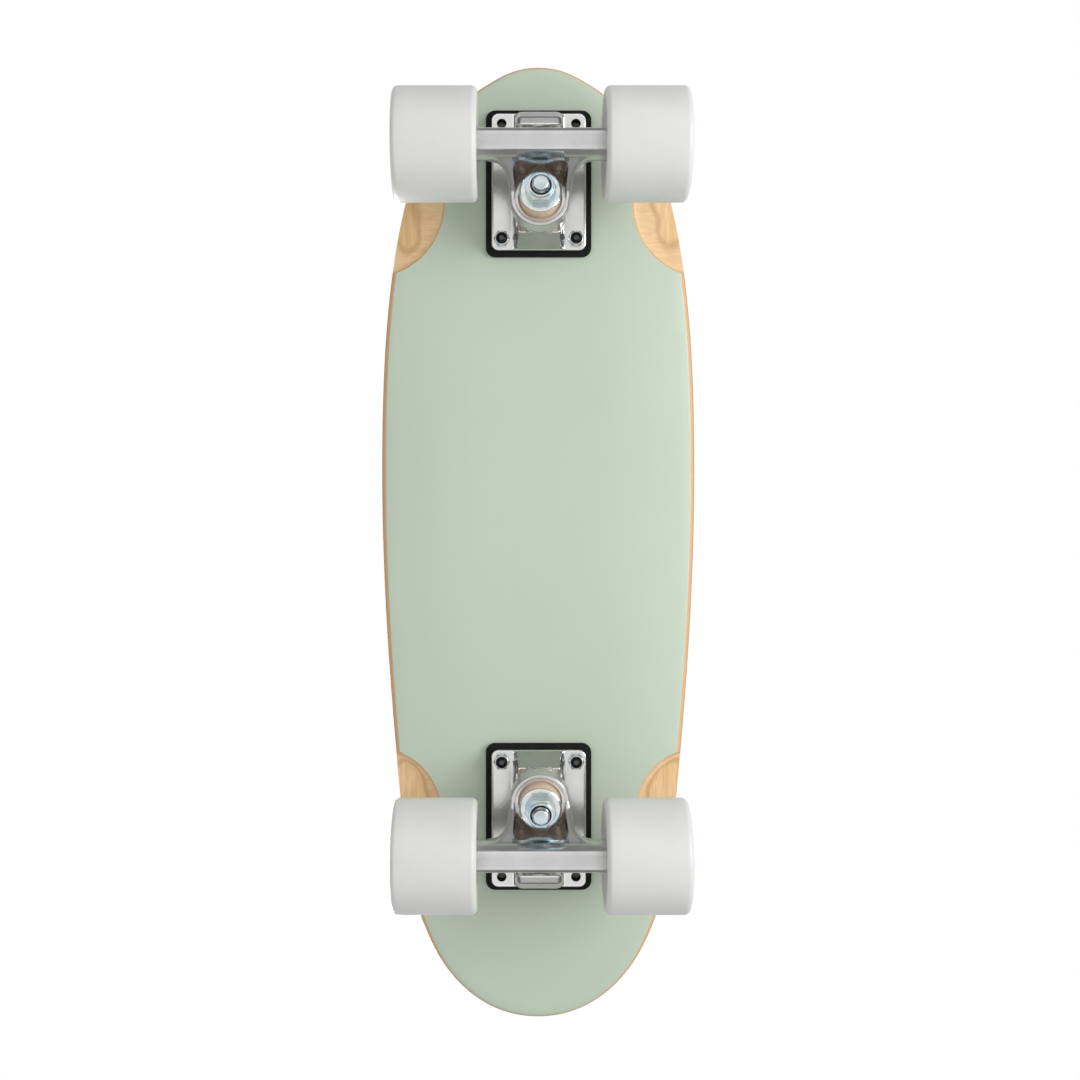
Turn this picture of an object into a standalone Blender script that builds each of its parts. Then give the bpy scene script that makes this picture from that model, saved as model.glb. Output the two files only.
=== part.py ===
"""Small cruiser skateboard: mint deck with wheel wells and two complete trucks.

X runs across the board (along the axles), Y along it with the nose at +Y, Z up.
The board stands on its four wheels on z = 0 and its bounding box is centred on
the origin.  Every dimension below is in millimetres; the objects are written in
metres.  Truck details are laid out in a truck frame (x, t, z): t = 0 is the axle
and t points away from the middle of the board.
"""
import math

import bmesh
import bpy
from mathutils import Matrix, Vector
from mathutils.geometry import delaunay_2d_cdt

for old in list(bpy.data.objects):
    bpy.data.objects.remove(old, do_unlink=True)

MM = 0.001
GAP = 0.05                    # gap left between flat faces bolted together

# ---- deck
DECK_BOTTOM_Z = 85.0
DECK_THICKNESS = 10.0
FLAT_HALF_WIDTH = 33.0        # centre strip that stays flat under the trucks
CONCAVE_RISE = 5.0            # rise of the rails at full width
RAIL_HALF_WIDTH = 88.5
KICK_START_Y = -194.0
KICK_RADIUS = 100.0
KICK_ANGLE = math.radians(11.5)
GRIP_THICKNESS = 0.9
DECK_TOP_Z = DECK_BOTTOM_Z + DECK_THICKNESS
# right half of the outline, nose to tail: x, y, heading in degrees, handle before, handle after
OUTLINE = (
    (0.0, 269.5, 0.0, 0.0, 14.0),
    (30.0, 259.1, -31.0, 9.0, 22.0),
    (75.6, 191.5, -76.5, 26.0, 45.0),
    (88.5, 42.5, -90.0, 55.0, 58.0),
    (78.9, -132.5, -95.6, 58.0, 30.0),
    (58.8, -228.0, -115.6, 38.0, 20.0),
    (0.0, -269.5, -180.0, 31.0, 0.0),
)
OUTLINE_STEPS = (4, 7, 5, 5, 5, 8)
# edge profile: how far in from the outline, how high above the bottom face
EDGE_PROFILE = ((3.2, 0.0), (1.1, 0.7), (0.0, 3.2), (0.0, 7.6), (0.7, 9.3), (2.6, 10.0))
# wheel wells: centre x, centre y, radius
WELLS = ((93.0, 192.5, 40.4), (90.5, -150.5, 36.2))
WELL_TILT = math.radians(6.9)
WELL_PLANE_Z = 90.5           # height of the well's tilted plane at its centre

# ---- truck placing
TRUCK_MID_Y = 25.9
AXLE_FROM_MID = 186.7
AXLE_Z = 30.0

# ---- riser pad and baseplate (truck frame)
BASE_T = -9.5                 # centre of the baseplate
BASE_WIDTH = 52.4
BASE_LENGTH = 76.0
BASE_CORNER = 3.8
BASE_BACK_Z = 82.0
FLANGE_Z = 77.0
RISER_WIDTH = 59.0
RISER_LENGTH = 82.0
BOLT_HALF_SPACING = 20.65
BOLT_T_INNER = BASE_T - 32.1
BOLT_T_MIDDLE = BOLT_T_INNER + 53.8
BOLT_T_OUTER = BASE_T + 32.3
BOLT_HOLE_RADIUS = 2.7

# ---- kingpin line, s measured from the ring centre towards the deck
RING_T = -26.0
RING_Z = 47.5
KINGPIN_LEAN = math.radians(10.0)
RING_RADIUS = 15.7
RING_HALF_THICKNESS = 4.65
RING_SKIRT = 7.2
SEAT_S = 21.15
KINGPIN_HEAD_S = 27.0
KINGPIN_RADIUS = 4.75
KINGPIN_TIP_S = -26.5
ROAD_BUSHING_S = (-12.45, -0.4)
DECK_BUSHING_S = (2.9, 19.5)

# ---- pivot line, p measured from the pivot ball towards the deck
PIVOT_T = 18.3
PIVOT_Z = 68.0

# ---- axle, wheels and bearings
HANGER_HALF_WIDTH = 42.4
# beam section round the axle (t, z): outboard side, road face, sloped inboard side, deck side
BEAM_SECTION = ((8.0, 3.5), (8.0, -4.4), (6.9, -6.9), (5.0, -8.0), (-0.8, -8.0), (-3.8, -7.2), (-6.6, -3.9),
                (-8.1, 0.0), (-7.9, 4.4), (-5.0, 7.9), (5.0, 8.0), (7.3, 6.2))
BEAM_END_RADIUS = 7.2
AXLE_HALF_LENGTH = 75.5
AXLE_RADIUS = 3.98
WHEEL_X = 55.3
WHEEL_RADIUS = 30.0
WHEEL_HALF_WIDTH = 22.0
BEARING_X = 8.55
BEARING_HALF_WIDTH = 3.5
STACK_HALF_WIDTH = 12.8
AXLE_NUT_START = 68.2
AXLE_NUT_HEIGHT = 6.8

COLOURS = {
    "mint_paint": (0.53, 0.60, 0.50, 0.45, 0.0),
    "grip": (0.02, 0.02, 0.02, 0.95, 0.0),
    "black_rubber": (0.012, 0.012, 0.013, 0.6, 0.0),
    "polished_aluminium": (0.80, 0.80, 0.80, 0.18, 1.0),
    "tumbled_aluminium": (0.66, 0.66, 0.67, 0.45, 1.0),
    "zinc_steel": (0.55, 0.60, 0.63, 0.3, 1.0),
    "black_steel": (0.03, 0.03, 0.03, 0.4, 1.0),
    "bearing_steel": (0.60, 0.60, 0.60, 0.25, 1.0),
    "amber_urethane": (0.68, 0.46, 0.32, 0.4, 0.0),
    "white_urethane": (0.71, 0.71, 0.69, 0.4, 0.0),
    "nylon_cup": (0.015, 0.015, 0.016, 0.35, 0.0),
}


def material(name, kind):
    """A Principled material of its own for one node."""
    red, green, blue, rough, metal = COLOURS[kind]
    made = bpy.data.materials.new(name)
    made.use_nodes = True
    made.diffuse_color = (red, green, blue, 1.0)
    shader = made.node_tree.nodes["Principled BSDF"]
    shader.inputs["Base Color"].default_value = (red, green, blue, 1.0)
    shader.inputs["Roughness"].default_value = rough
    shader.inputs["Metallic"].default_value = metal
    return made


# ---------------------------------------------------------------- solids in millimetres
def outward(bm):
    """Turn every face of a closed solid outwards."""
    bmesh.ops.recalc_face_normals(bm, faces=bm.faces)
    if bm.calc_volume(signed=True) < 0.0:
        bmesh.ops.reverse_faces(bm, faces=bm.faces)
    return bm


def lathe(profile, segments, ring=False):
    """Turn (radius, height) points about Z; ring=True closes the profile on itself."""
    bm = bmesh.new()
    rows = []
    for radius, height in profile:
        if radius == 0.0:
            rows.append([bm.verts.new((0.0, 0.0, height))])
            continue
        row = []
        for i in range(segments):
            angle = 2.0 * math.pi * i / segments
            row.append(bm.verts.new((radius * math.cos(angle), radius * math.sin(angle), height)))
        rows.append(row)
    pairs = list(zip(rows, rows[1:]))
    if ring:
        pairs.append((rows[-1], rows[0]))
    for low, high in pairs:
        for i in range(segments):
            j = (i + 1) % segments
            if len(low) == 1:
                bm.faces.new((low[0], high[i], high[j]))
            elif len(high) == 1:
                bm.faces.new((low[i], low[j], high[0]))
            else:
                bm.faces.new((low[i], low[j], high[j], high[i]))
    return outward(bm)


def prism(outline, low, high):
    """Extrude a flat (a, b) outline between two heights along Z."""
    bm = bmesh.new()
    bottom = [bm.verts.new((a, b, low)) for a, b in outline]
    top = [bm.verts.new((a, b, high)) for a, b in outline]
    bm.faces.new(bottom)
    bm.faces.new(top)
    count = len(outline)
    for i in range(count):
        j = (i + 1) % count
        bm.faces.new((bottom[i], bottom[j], top[j], top[i]))
    return outward(bm)


def side_prism(outline, half_width, bevel=0.0):
    """Extrude a (t, z) side profile across x from -half_width to +half_width."""
    bm = prism(outline, -half_width, half_width)
    if bevel:
        rims = [e for e in bm.edges if abs(e.verts[0].co.z - e.verts[1].co.z) < 1e-6]
        bmesh.ops.bevel(bm, geom=rims, offset=bevel, segments=2, profile=0.5, affect="EDGES")
    turn = Matrix(((0.0, 0.0, 1.0, 0.0), (1.0, 0.0, 0.0, 0.0), (0.0, 1.0, 0.0, 0.0), (0.0, 0.0, 0.0, 1.0)))
    bm.transform(turn)
    return outward(bm)


def rounded_rectangle(width, length, radius, centre_y, steps=3):
    """Outline of a rectangle with round corners."""
    points = []
    for corner, (sx, sy) in enumerate(((1, 1), (-1, 1), (-1, -1), (1, -1))):
        for k in range(steps + 1):
            angle = math.radians(90.0 * (corner + k / steps))
            x = sx * (width / 2.0 - radius) + radius * math.cos(angle)
            y = sy * (length / 2.0 - radius) + radius * math.sin(angle)
            points.append((x, y + centre_y))
    return points


def hexagon(across_flats):
    """Corners of a hexagon."""
    radius = across_flats / math.sqrt(3.0)
    return [(radius * math.cos(math.radians(60.0 * k)), radius * math.sin(math.radians(60.0 * k))) for k in range(6)]


def merged(*parts):
    """Several separate shells held in one bmesh."""
    whole = bmesh.new()
    for part in parts:
        scratch = bpy.data.meshes.new("scratch")
        part.to_mesh(scratch)
        whole.from_mesh(scratch)
        bpy.data.meshes.remove(scratch)
        part.free()
    return whole


def boolean(body, tools, operation):
    """Exact boolean of one solid with a list of others."""
    scene = bpy.context.scene
    holders = []
    for bm in [body] + list(tools):
        mesh = bpy.data.meshes.new("scratch")
        bm.to_mesh(mesh)
        bm.free()
        holder = bpy.data.objects.new("scratch", mesh)
        scene.collection.objects.link(holder)
        holders.append(holder)
    for tool in holders[1:]:
        modifier = holders[0].modifiers.new("step", "BOOLEAN")
        modifier.operation = operation
        modifier.solver = "EXACT"
        modifier.object = tool
    graph = bpy.context.evaluated_depsgraph_get()
    result = bmesh.new()
    result.from_object(holders[0], graph)
    for holder in holders:
        mesh = holder.data
        bpy.data.objects.remove(holder, do_unlink=True)
        bpy.data.meshes.remove(mesh)
    return result


def union(*solids):
    return boolean(solids[0], solids[1:], "UNION")


def minus(body, *tools):
    return boolean(body, tools, "DIFFERENCE")


def moved(bm, matrix):
    bm.transform(matrix)
    return bm


def cylinder(radius, low, high, segments=32):
    return lathe(((0.0, low), (radius, low), (radius, high), (0.0, high)), segments)


# ---------------------------------------------------------------- frames
def along_x(x=0.0, z=AXLE_Z):
    """Stand a lathed part on the axle line: its Z becomes +X."""
    return Matrix.Translation((x, 0.0, z)) @ Matrix.Rotation(math.pi / 2.0, 4, "Y")


def kingpin_frame():
    """Z of the part follows the kingpin towards the deck, zero at the ring centre."""
    return Matrix.Translation((0.0, RING_T, RING_Z)) @ Matrix.Rotation(KINGPIN_LEAN, 4, "X")


def pivot_angle():
    return math.atan2(PIVOT_Z - RING_Z, PIVOT_T - RING_T)


def pivot_frame():
    """Z of the part follows the steering axis towards the deck, zero at the ball."""
    return Matrix.Translation((0.0, PIVOT_T, PIVOT_Z)) @ Matrix.Rotation(pivot_angle() - math.pi / 2.0, 4, "X")


def truck_to_world(front):
    if front:
        return Matrix.Translation((0.0, TRUCK_MID_Y + AXLE_FROM_MID, 0.0))
    return Matrix.Translation((0.0, TRUCK_MID_Y - AXLE_FROM_MID, 0.0)) @ Matrix.Rotation(math.pi, 4, "Z")


def make_node(name, bm, kind, frame=None, origin=(0.0, 0.0, 0.0), sharp=35.0):
    """Write a solid as one named object whose origin sits at the given point of its frame."""
    frame = frame or Matrix.Identity(4)
    bm.transform(frame)
    home = frame @ Vector(origin)
    bm.transform(Matrix.Scale(MM, 4) @ Matrix.Translation(-home))
    bmesh.ops.remove_doubles(bm, verts=bm.verts, dist=1e-8)
    mesh = bpy.data.meshes.new(name)
    bm.to_mesh(mesh)
    bm.free()
    node = bpy.data.objects.new(name, mesh)
    bpy.context.scene.collection.objects.link(node)
    node.location = home * MM
    mesh.materials.append(material(name, kind))
    mesh.shade_smooth()
    mesh.set_sharp_from_angle(angle=math.radians(sharp))
    return node


# ---------------------------------------------------------------- deck
def smoothstep(low, high, value):
    s = min(1.0, max(0.0, (value - low) / (high - low)))
    return s * s * (3.0 - 2.0 * s)


def deck_lift(x, y):
    """Height of the deck surface above its flat centre: concave rails and the kicked tail."""
    side = max(0.0, abs(x) - FLAT_HALF_WIDTH) / (RAIL_HALF_WIDTH - FLAT_HALF_WIDTH)
    fade = 1.0 - 0.45 * smoothstep(205.0, 265.0, abs(y))
    lift = CONCAVE_RISE * side * side * fade
    run = KICK_START_Y - y
    if run > 0.0:
        arc = KICK_RADIUS * math.sin(KICK_ANGLE)
        if run < arc:
            lift += KICK_RADIUS - math.sqrt(KICK_RADIUS ** 2 - run ** 2)
        else:
            lift += KICK_RADIUS * (1.0 - math.cos(KICK_ANGLE)) + (run - arc) * math.tan(KICK_ANGLE)
    return lift


def bezier(p0, p1, p2, p3, s):
    r = 1.0 - s
    return p0 * r ** 3 + p1 * 3.0 * r * r * s + p2 * 3.0 * r * s * s + p3 * s ** 3


def deck_outline():
    """Closed outline of the deck, clockwise seen from above, as 2-D vectors."""
    right = []
    for (start, end, steps) in zip(OUTLINE, OUTLINE[1:], OUTLINE_STEPS):
        heading0, heading1 = math.radians(start[2]), math.radians(end[2])
        p0, p3 = Vector(start[:2]), Vector(end[:2])
        p1 = p0 + start[4] * Vector((math.cos(heading0), math.sin(heading0)))
        p2 = p3 - end[3] * Vector((math.cos(heading1), math.sin(heading1)))
        right += [bezier(p0, p1, p2, p3, k / steps) for k in range(steps)]
    right.append(Vector(OUTLINE[-1][:2]))
    left = [Vector((-p.x, p.y)) for p in reversed(right[1:-1])]
    return right + left


def inset(outline, distance):
    """The outline moved inwards."""
    count = len(outline)
    points = []
    for i, here in enumerate(outline):
        run = (outline[(i + 1) % count] - outline[i - 1]).normalized()
        points.append(here + distance * Vector((run.y, -run.x)))
    return points


def inside(point, outline):
    hit = False
    for a, b in zip(outline, outline[1:] + outline[:1]):
        if (a.y > point.y) != (b.y > point.y):
            if point.x < a.x + (point.y - a.y) * (b.x - a.x) / (b.y - a.y):
                hit = not hit
    return hit


def deck_skin(outline):
    """Triangles filling an outline, with inner points so that the skin can follow the concave."""
    columns = (0.0, FLAT_HALF_WIDTH, 46.0, 58.0, 69.0, 79.0)
    keep_in = inset(outline, 5.0)
    points = list(outline)
    y = -264.0
    while y < 266.0:
        for x in columns:
            for side in ((1.0,) if x == 0.0 else (1.0, -1.0)):
                here = Vector((side * x, y))
                if inside(here, keep_in):
                    points.append(here)
        y += 13.0 if y < -180.0 else 34.0
    result = delaunay_2d_cdt(points, [], [list(range(len(outline)))], 1, 1e-6)
    return result[0], result[2]


def loop_solid(outline, profile, base_lift):
    """Closed solid over an outline: stacked inset loops, with skins closing top and bottom."""
    bm = bmesh.new()
    count = len(outline)
    rows = []
    for distance, height in profile:
        row = []
        for p in inset(outline, distance):
            row.append(bm.verts.new((p.x, p.y, base_lift + height + deck_lift(p.x, p.y))))
        rows.append(row)
    for low, high in zip(rows, rows[1:]):
        for i in range(count):
            j = (i + 1) % count
            bm.faces.new((low[i], low[j], high[j], high[i]))
    for row, (distance, height) in ((rows[0], profile[0]), (rows[-1], profile[-1])):
        points, triangles = deck_skin(inset(outline, distance))
        verts = []
        for index, p in enumerate(points):
            if index < count:
                verts.append(row[index])
            else:
                verts.append(bm.verts.new((p.x, p.y, base_lift + height + deck_lift(p.x, p.y))))
        for triangle in triangles:
            bm.faces.new([verts[k] for k in triangle])
    return outward(bm)


def bolt_places():
    """World positions of the eight truck bolts, named by truck, row and side."""
    places = []
    for truck, front in (("front", True), ("rear", False)):
        for row, t in (("inner", BOLT_T_INNER), ("outer", BOLT_T_MIDDLE)):
            for side, x in (("left", -BOLT_HALF_SPACING), ("right", BOLT_HALF_SPACING)):
                spot = truck_to_world(front) @ Vector((x, t, 0.0))
                places.append((f"{truck}_{row}_{side}", spot))
    return places


def well_cutter(side, centre_x, centre_y, radius):
    """Shallow milled scoop: a steep wall, then a floor that follows the rail's slope."""
    profile = ((0.0, -4.0), (radius + 2.0, -4.0), (radius, 0.0), (radius - 0.9, 1.5),
               (radius - 3.2, 2.1), (radius - 14.0, 2.6), (0.0, 2.7))
    place = Matrix.Translation((side * centre_x, centre_y, WELL_PLANE_Z)) @ Matrix.Rotation(-side * WELL_TILT, 4, "Y")
    return moved(lathe(profile, 44), place)


def build_deck():
    outline = deck_outline()
    tools = [well_cutter(side, *well) for well in WELLS for side in (1.0, -1.0)]
    for _, spot in bolt_places():
        hole = lathe(((0.0, 80.0), (2.65, 80.0), (2.65, 92.3), (5.2, 95.0), (5.2, 101.0), (0.0, 101.0)), 12)
        tools.append(moved(hole, Matrix.Translation((spot.x, spot.y, 0.0))))
    deck = minus(loop_solid(outline, EDGE_PROFILE, DECK_BOTTOM_Z), merged(*tools))
    make_node("deck", deck, "mint_paint", sharp=40.0)
    rim = EDGE_PROFILE[-1][0]
    profile = ((rim, 0.0), (rim, GRIP_THICKNESS))
    holes = []
    for _, spot in bolt_places():
        holes.append(moved(cylinder(5.6, 90.0, 100.0, 12), Matrix.Translation((spot.x, spot.y, 0.0))))
    grip = minus(loop_solid(outline, profile, DECK_TOP_Z + 2.0 * GAP), merged(*holes))
    make_node("grip_tape", grip, "grip", sharp=40.0)


# ---------------------------------------------------------------- fasteners
def lock_nut(across_flats, height, hex_height, bore, segments=12):
    """Hexagon nut with a chamfered face and the round collar that holds its nylon ring."""
    corner = across_flats / math.sqrt(3.0)
    half = across_flats / 2.0
    blank = prism(hexagon(across_flats), 0.0, hex_height)
    chamfer = lathe(((0.0, -0.5), (corner + 0.1, -0.5), (corner + 0.1, hex_height - 0.7),
                     (half - 0.1, hex_height + 0.02), (0.0, hex_height + 0.02)), segments)
    blank = boolean(blank, [chamfer], "INTERSECT")
    collar = lathe(((0.0, hex_height - 0.6), (half - 0.25, hex_height - 0.6), (half - 0.25, height - 0.6),
                    (half - 0.75, height), (0.0, height)), segments)
    return minus(union(blank, collar), cylinder(bore, -1.0, height + 1.0, segments))


def mount_bolt():
    """Countersunk bolt with a hexagon socket, head up, z = 0 at the top of the head."""
    shank = lathe(((0.0, -24.4), (1.9, -24.4), (2.4, -23.8), (2.4, -2.6), (4.7, -0.3), (4.7, 0.0), (0.0, 0.0)), 12)
    return minus(shank, prism(hexagon(3.2), -2.0, 1.0))


def build_fasteners():
    for name, spot in bolt_places():
        bolt = moved(mount_bolt(), Matrix.Translation((0.0, 0.0, DECK_TOP_Z + 0.7)))
        make_node(f"bolt_{name}", bolt, "black_steel", Matrix.Translation((spot.x, spot.y, 0.0)), (0, 0, DECK_TOP_Z))
        nut = moved(lock_nut(8.0, 5.0, 3.6, 2.5), Matrix.Rotation(math.pi, 4, "X"))
        place = Matrix.Translation((spot.x, spot.y, FLANGE_Z - GAP))
        make_node(f"nut_{name}", nut, "zinc_steel", place)


# ---------------------------------------------------------------- truck, deck side
def bolt_hole_tools(low, high):
    tools = []
    for t in (BOLT_T_INNER, BOLT_T_MIDDLE, BOLT_T_OUTER):
        for x in (-BOLT_HALF_SPACING, BOLT_HALF_SPACING):
            tools.append(moved(cylinder(BOLT_HOLE_RADIUS, low, high, 10), Matrix.Translation((x, t, 0.0))))
    return tools


def riser_pad():
    pad = prism(rounded_rectangle(RISER_WIDTH, RISER_LENGTH, BASE_CORNER, BASE_T), BASE_BACK_Z + GAP,
                DECK_BOTTOM_Z - GAP)
    return minus(pad, merged(*bolt_hole_tools(70.0, 90.0)))


def pivot_cup_profile(clearance):
    """Outside of the pivot cup; the bore in the baseplate is the same shape plus a clearance."""
    return ((7.2 + clearance, 1.0), (4.8 + clearance, 5.2 + clearance), (3.4 + clearance, 6.3 + clearance))


def baseplate():
    plate = prism(rounded_rectangle(BASE_WIDTH, BASE_LENGTH, BASE_CORNER, BASE_T), FLANGE_Z, BASE_BACK_Z)
    rim = [e for e in plate.edges if all(abs(v.co.z - FLANGE_Z) < 1e-6 for v in e.verts)]
    bmesh.ops.bevel(plate, geom=rim, offset=1.0, segments=2, profile=0.5, affect="EDGES")
    spine = side_prism(((-47.4, 79.0), (-47.4, 77.4), (-41.0, 66.8), (-17.2, 71.0), (-8.0, 73.9), (8.0, 73.9), (8.0, 78.5)), 1.0)
    spine = narrowed(spine, -47.3, 12.4, -41.0, 11.2)
    flare = moved(prism(((-15.5, 77.4), (-13.2, 75.6), (-12.0, 74.0), (12.0, 74.0), (13.2, 75.6), (15.5, 77.4),
                         (15.5, 79.0), (-15.5, 79.0)), -27.0, 45.0), Matrix.Rotation(math.pi / 2.0, 4, "X"))
    boss = moved(lathe(((0.0, SEAT_S), (11.4, SEAT_S), (12.0, SEAT_S + 0.6), (14.0, 31.5), (0.0, 31.5)), 32),
                 kingpin_frame())
    housing = side_prism(((28.0, 78.5), (27.2, 69.0), (25.4, 62.6), (21.6, 57.6), (16.9, 55.4), (8.6, 73.8),
                          (6.4, 78.5)), 13.0, 3.6)
    solid = union(plate, flare, spine, boss, housing)
    head_room = moved(cylinder(8.7, KINGPIN_HEAD_S - 0.1, 45.0, 24), kingpin_frame())
    pin_hole = moved(cylinder(KINGPIN_RADIUS + 0.15, 10.0, 40.0, 24), kingpin_frame())
    cup_hole = moved(lathe(((0.0, -20.0), (7.3, -20.0)) + pivot_cup_profile(0.1) + ((0.0, 6.4),), 24), pivot_frame())
    return minus(solid, head_room, pin_hole, cup_hole, merged(*bolt_hole_tools(60.0, 90.0)))


def pivot_cup():
    """Nylon socket with a thin lip; the hanger's ball sits in it."""
    inner = ((5.7, -7.6), (4.95, 0.0), (4.4, 2.6), (2.9, 4.4), (0.0, 5.2))
    outer = ((8.4, -7.6), (8.6, -6.7), (7.2, -6.6)) + pivot_cup_profile(0.0) + ((0.0, 6.3),)
    return lathe(tuple(reversed(inner)) + outer, 24)


def kingpin():
    shaft = lathe(((0.0, KINGPIN_TIP_S), (3.65, KINGPIN_TIP_S), (KINGPIN_RADIUS, KINGPIN_TIP_S + 1.2),
                   (KINGPIN_RADIUS, 30.0), (0.0, 30.0)), 24)
    return union(shaft, prism(hexagon(14.3), KINGPIN_HEAD_S, KINGPIN_HEAD_S + 5.4))


def bushing_profile(wide, narrow, height):
    """Closed section of a rubber cone standing on its wide end."""
    bore = KINGPIN_RADIUS + 0.3
    return ((bore, 0.0), (wide - 0.6, 0.0), (wide, 1.0), (narrow, height - 0.6), (narrow - 0.5, height),
            (bore, height))


def build_deck_side(truck, front):
    frame = truck_to_world(front)
    line = frame @ kingpin_frame()
    make_node(f"riser_{truck}", riser_pad(), "black_rubber", frame, (0.0, BASE_T, BASE_BACK_Z))
    make_node(f"baseplate_{truck}", baseplate(), "polished_aluminium", frame, (0.0, BASE_T, BASE_BACK_Z))
    make_node(f"pivot_cup_{truck}", pivot_cup(), "nylon_cup", frame @ pivot_frame())
    make_node(f"kingpin_{truck}", kingpin(), "zinc_steel", line)
    washer_low = ROAD_BUSHING_S[0] - GAP
    nut = moved(lock_nut(14.3, 8.6, 6.4, KINGPIN_RADIUS + 0.08, 24),
                Matrix.Translation((0, 0, washer_low - 1.7)) @ Matrix.Rotation(math.pi, 4, "X"))
    make_node(f"kingpin_nut_{truck}", nut, "zinc_steel", line)
    cupped = ((KINGPIN_RADIUS + 0.2, washer_low - 1.6), (10.6, washer_low - 1.6), (11.5, washer_low - 1.0),
              (11.5, washer_low), (KINGPIN_RADIUS + 0.2, washer_low))
    make_node(f"washer_road_{truck}", lathe(cupped, 24, ring=True), "zinc_steel", line)
    base_low = DECK_BUSHING_S[1] + GAP
    cupped = ((KINGPIN_RADIUS + 0.2, base_low), (11.2, base_low), (11.2, base_low + 1.0), (10.6, SEAT_S - GAP),
              (KINGPIN_RADIUS + 0.2, SEAT_S - GAP))
    make_node(f"washer_deck_{truck}", lathe(cupped, 24, ring=True), "zinc_steel", line)
    low, high = ROAD_BUSHING_S
    road = moved(lathe(bushing_profile(11.6, 11.0, high - low), 24, ring=True),
                 Matrix.Translation((0, 0, high)) @ Matrix.Rotation(math.pi, 4, "X"))
    make_node(f"bushing_road_{truck}", road, "amber_urethane", line)
    low, high = DECK_BUSHING_S
    deck = moved(lathe(bushing_profile(12.7, 10.8, high - low), 24, ring=True), Matrix.Translation((0, 0, low)))
    make_node(f"bushing_deck_{truck}", deck, "amber_urethane", line)


# ---------------------------------------------------------------- truck, moving side
def hanger_beam():
    """Cast beam: flat road face and sloped inboard side between the wheels, round inside them."""
    bm = bmesh.new()
    rows = []
    for x, roundness in ((-HANGER_HALF_WIDTH, 1.0), (-41.0, 0.7), (-37.5, 0.0), (37.5, 0.0), (41.0, 0.7),
                         (HANGER_HALF_WIDTH, 1.0)):
        row = []
        for t, z in BEAM_SECTION:
            shrink = 1.0 + roundness * (BEAM_END_RADIUS / math.hypot(t, z) - 1.0)
            row.append(bm.verts.new((x, t * shrink, AXLE_Z + z * shrink)))
        rows.append(row)
    count = len(BEAM_SECTION)
    for low, high in zip(rows, rows[1:]):
        for k in range(count):
            m = (k + 1) % count
            bm.faces.new((low[k], low[m], high[m], high[k]))
    bm.faces.new(rows[0])
    bm.faces.new(rows[-1])
    return outward(bm)


def narrowed(bm, near_t, near_width, far_t, far_width):
    """Scale a side prism's width so that it tapers from one t to another."""
    for vert in bm.verts:
        s = min(1.0, max(0.0, (vert.co.y - near_t) / (far_t - near_t)))
        vert.co.x *= near_width + (far_width - near_width) * s
    return bm


def web_outline():
    """Plan outline of the web: round at the ring, straight arms, hollow 9 mm corners at the beam."""
    right = []
    for k in range(5):
        angle = math.radians(20.0 * k)
        right.append((15.5 * math.sin(angle), RING_T - 15.5 * math.cos(angle)))
    right.append((17.1, -17.6))
    for k in range(6):
        angle = math.radians(18.0 * k)
        right.append((26.4 - 9.0 * math.cos(angle), -16.8 + 9.0 * math.sin(angle)))
    right.append((26.4, 2.0))
    return right + [(-x, t) for x, t in reversed(right[1:])]


def hanger():
    road_line = ((-27.0, 42.9), (-22.6, 41.4), (-18.0, 37.2), (-12.0, 31.6), (-6.6, 26.8), (-3.9, 24.2))
    tub = side_prism(road_line + ((4.0, 24.0), (6.5, 26.0), (6.5, 37.0), (3.5, 45.0), (-3.0, 51.5), (-13.0, 55.0),
                                  (-27.0, 51.7)), 1.0)
    tub = narrowed(tub, -27.0, 15.5, -17.0, 17.3)
    under = side_prism(road_line + ((2.0, 24.0), (2.0, 36.6), (-8.0, 37.4), (-16.0, 44.0), (-27.0, 51.0)), 30.0)
    web = boolean(prism(web_outline(), 10.0, 60.0), [under], "INTERSECT")
    ring = moved(lathe(((0.0, -RING_HALF_THICKNESS), (15.2, -RING_HALF_THICKNESS), (RING_RADIUS, -4.05),
                        (RING_RADIUS, RING_SKIRT - 0.8), (14.9, RING_SKIRT), (0.0, RING_SKIRT)), 32),
                 kingpin_frame())
    stem = moved(lathe(((0.0, -34.0), (4.6, -33.0), (7.6, -27.0), (8.3, -19.0), (5.4, -8.5), (4.6, 0.0), (3.9, 2.5),
                        (2.4, 4.1), (0.0, 4.7)), 24), pivot_frame())
    rib = side_prism(((-8.0, 48.0), (2.0, 36.0), (7.2, 35.0), (9.6, 50.0), (9.0, 60.0), (-4.0, 56.0)), 6.5, 1.5)
    body = union(hanger_beam(), tub, web, ring, stem, rib)
    pocket = side_prism(((-26.0, 48.2), (-17.0, 48.0), (-13.2, 44.6), (-11.2, 39.0), (-9.9, 33.0), (-9.1, 29.4),
                         (-5.3, 25.0), (-4.9, 21.0), (-4.9, 15.0), (-26.0, 15.0)), 1.0)
    pocket = narrowed(pocket, -26.0, 13.75, -16.0, 14.75)
    rims = [e for e in pocket.edges
            if all(v.co.y > -15.0 for v in e.verts) and abs(e.verts[0].co.x - e.verts[1].co.x) < 1e-6]
    bmesh.ops.bevel(pocket, geom=rims, offset=4.0, segments=3, profile=0.5, affect="EDGES")
    seat = moved(cylinder(13.8, -45.0, -0.35, 32), kingpin_frame())
    deck_seat = moved(cylinder(13.3, 2.85, 40.0, 24), kingpin_frame())
    pin_room = moved(cylinder(6.8, -10.0, 10.0, 24), kingpin_frame())
    axle_bore = moved(cylinder(AXLE_RADIUS + 0.07, -60.0, 60.0, 16), along_x())
    return minus(body, pocket, seat, deck_seat, pin_room, axle_bore)


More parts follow.
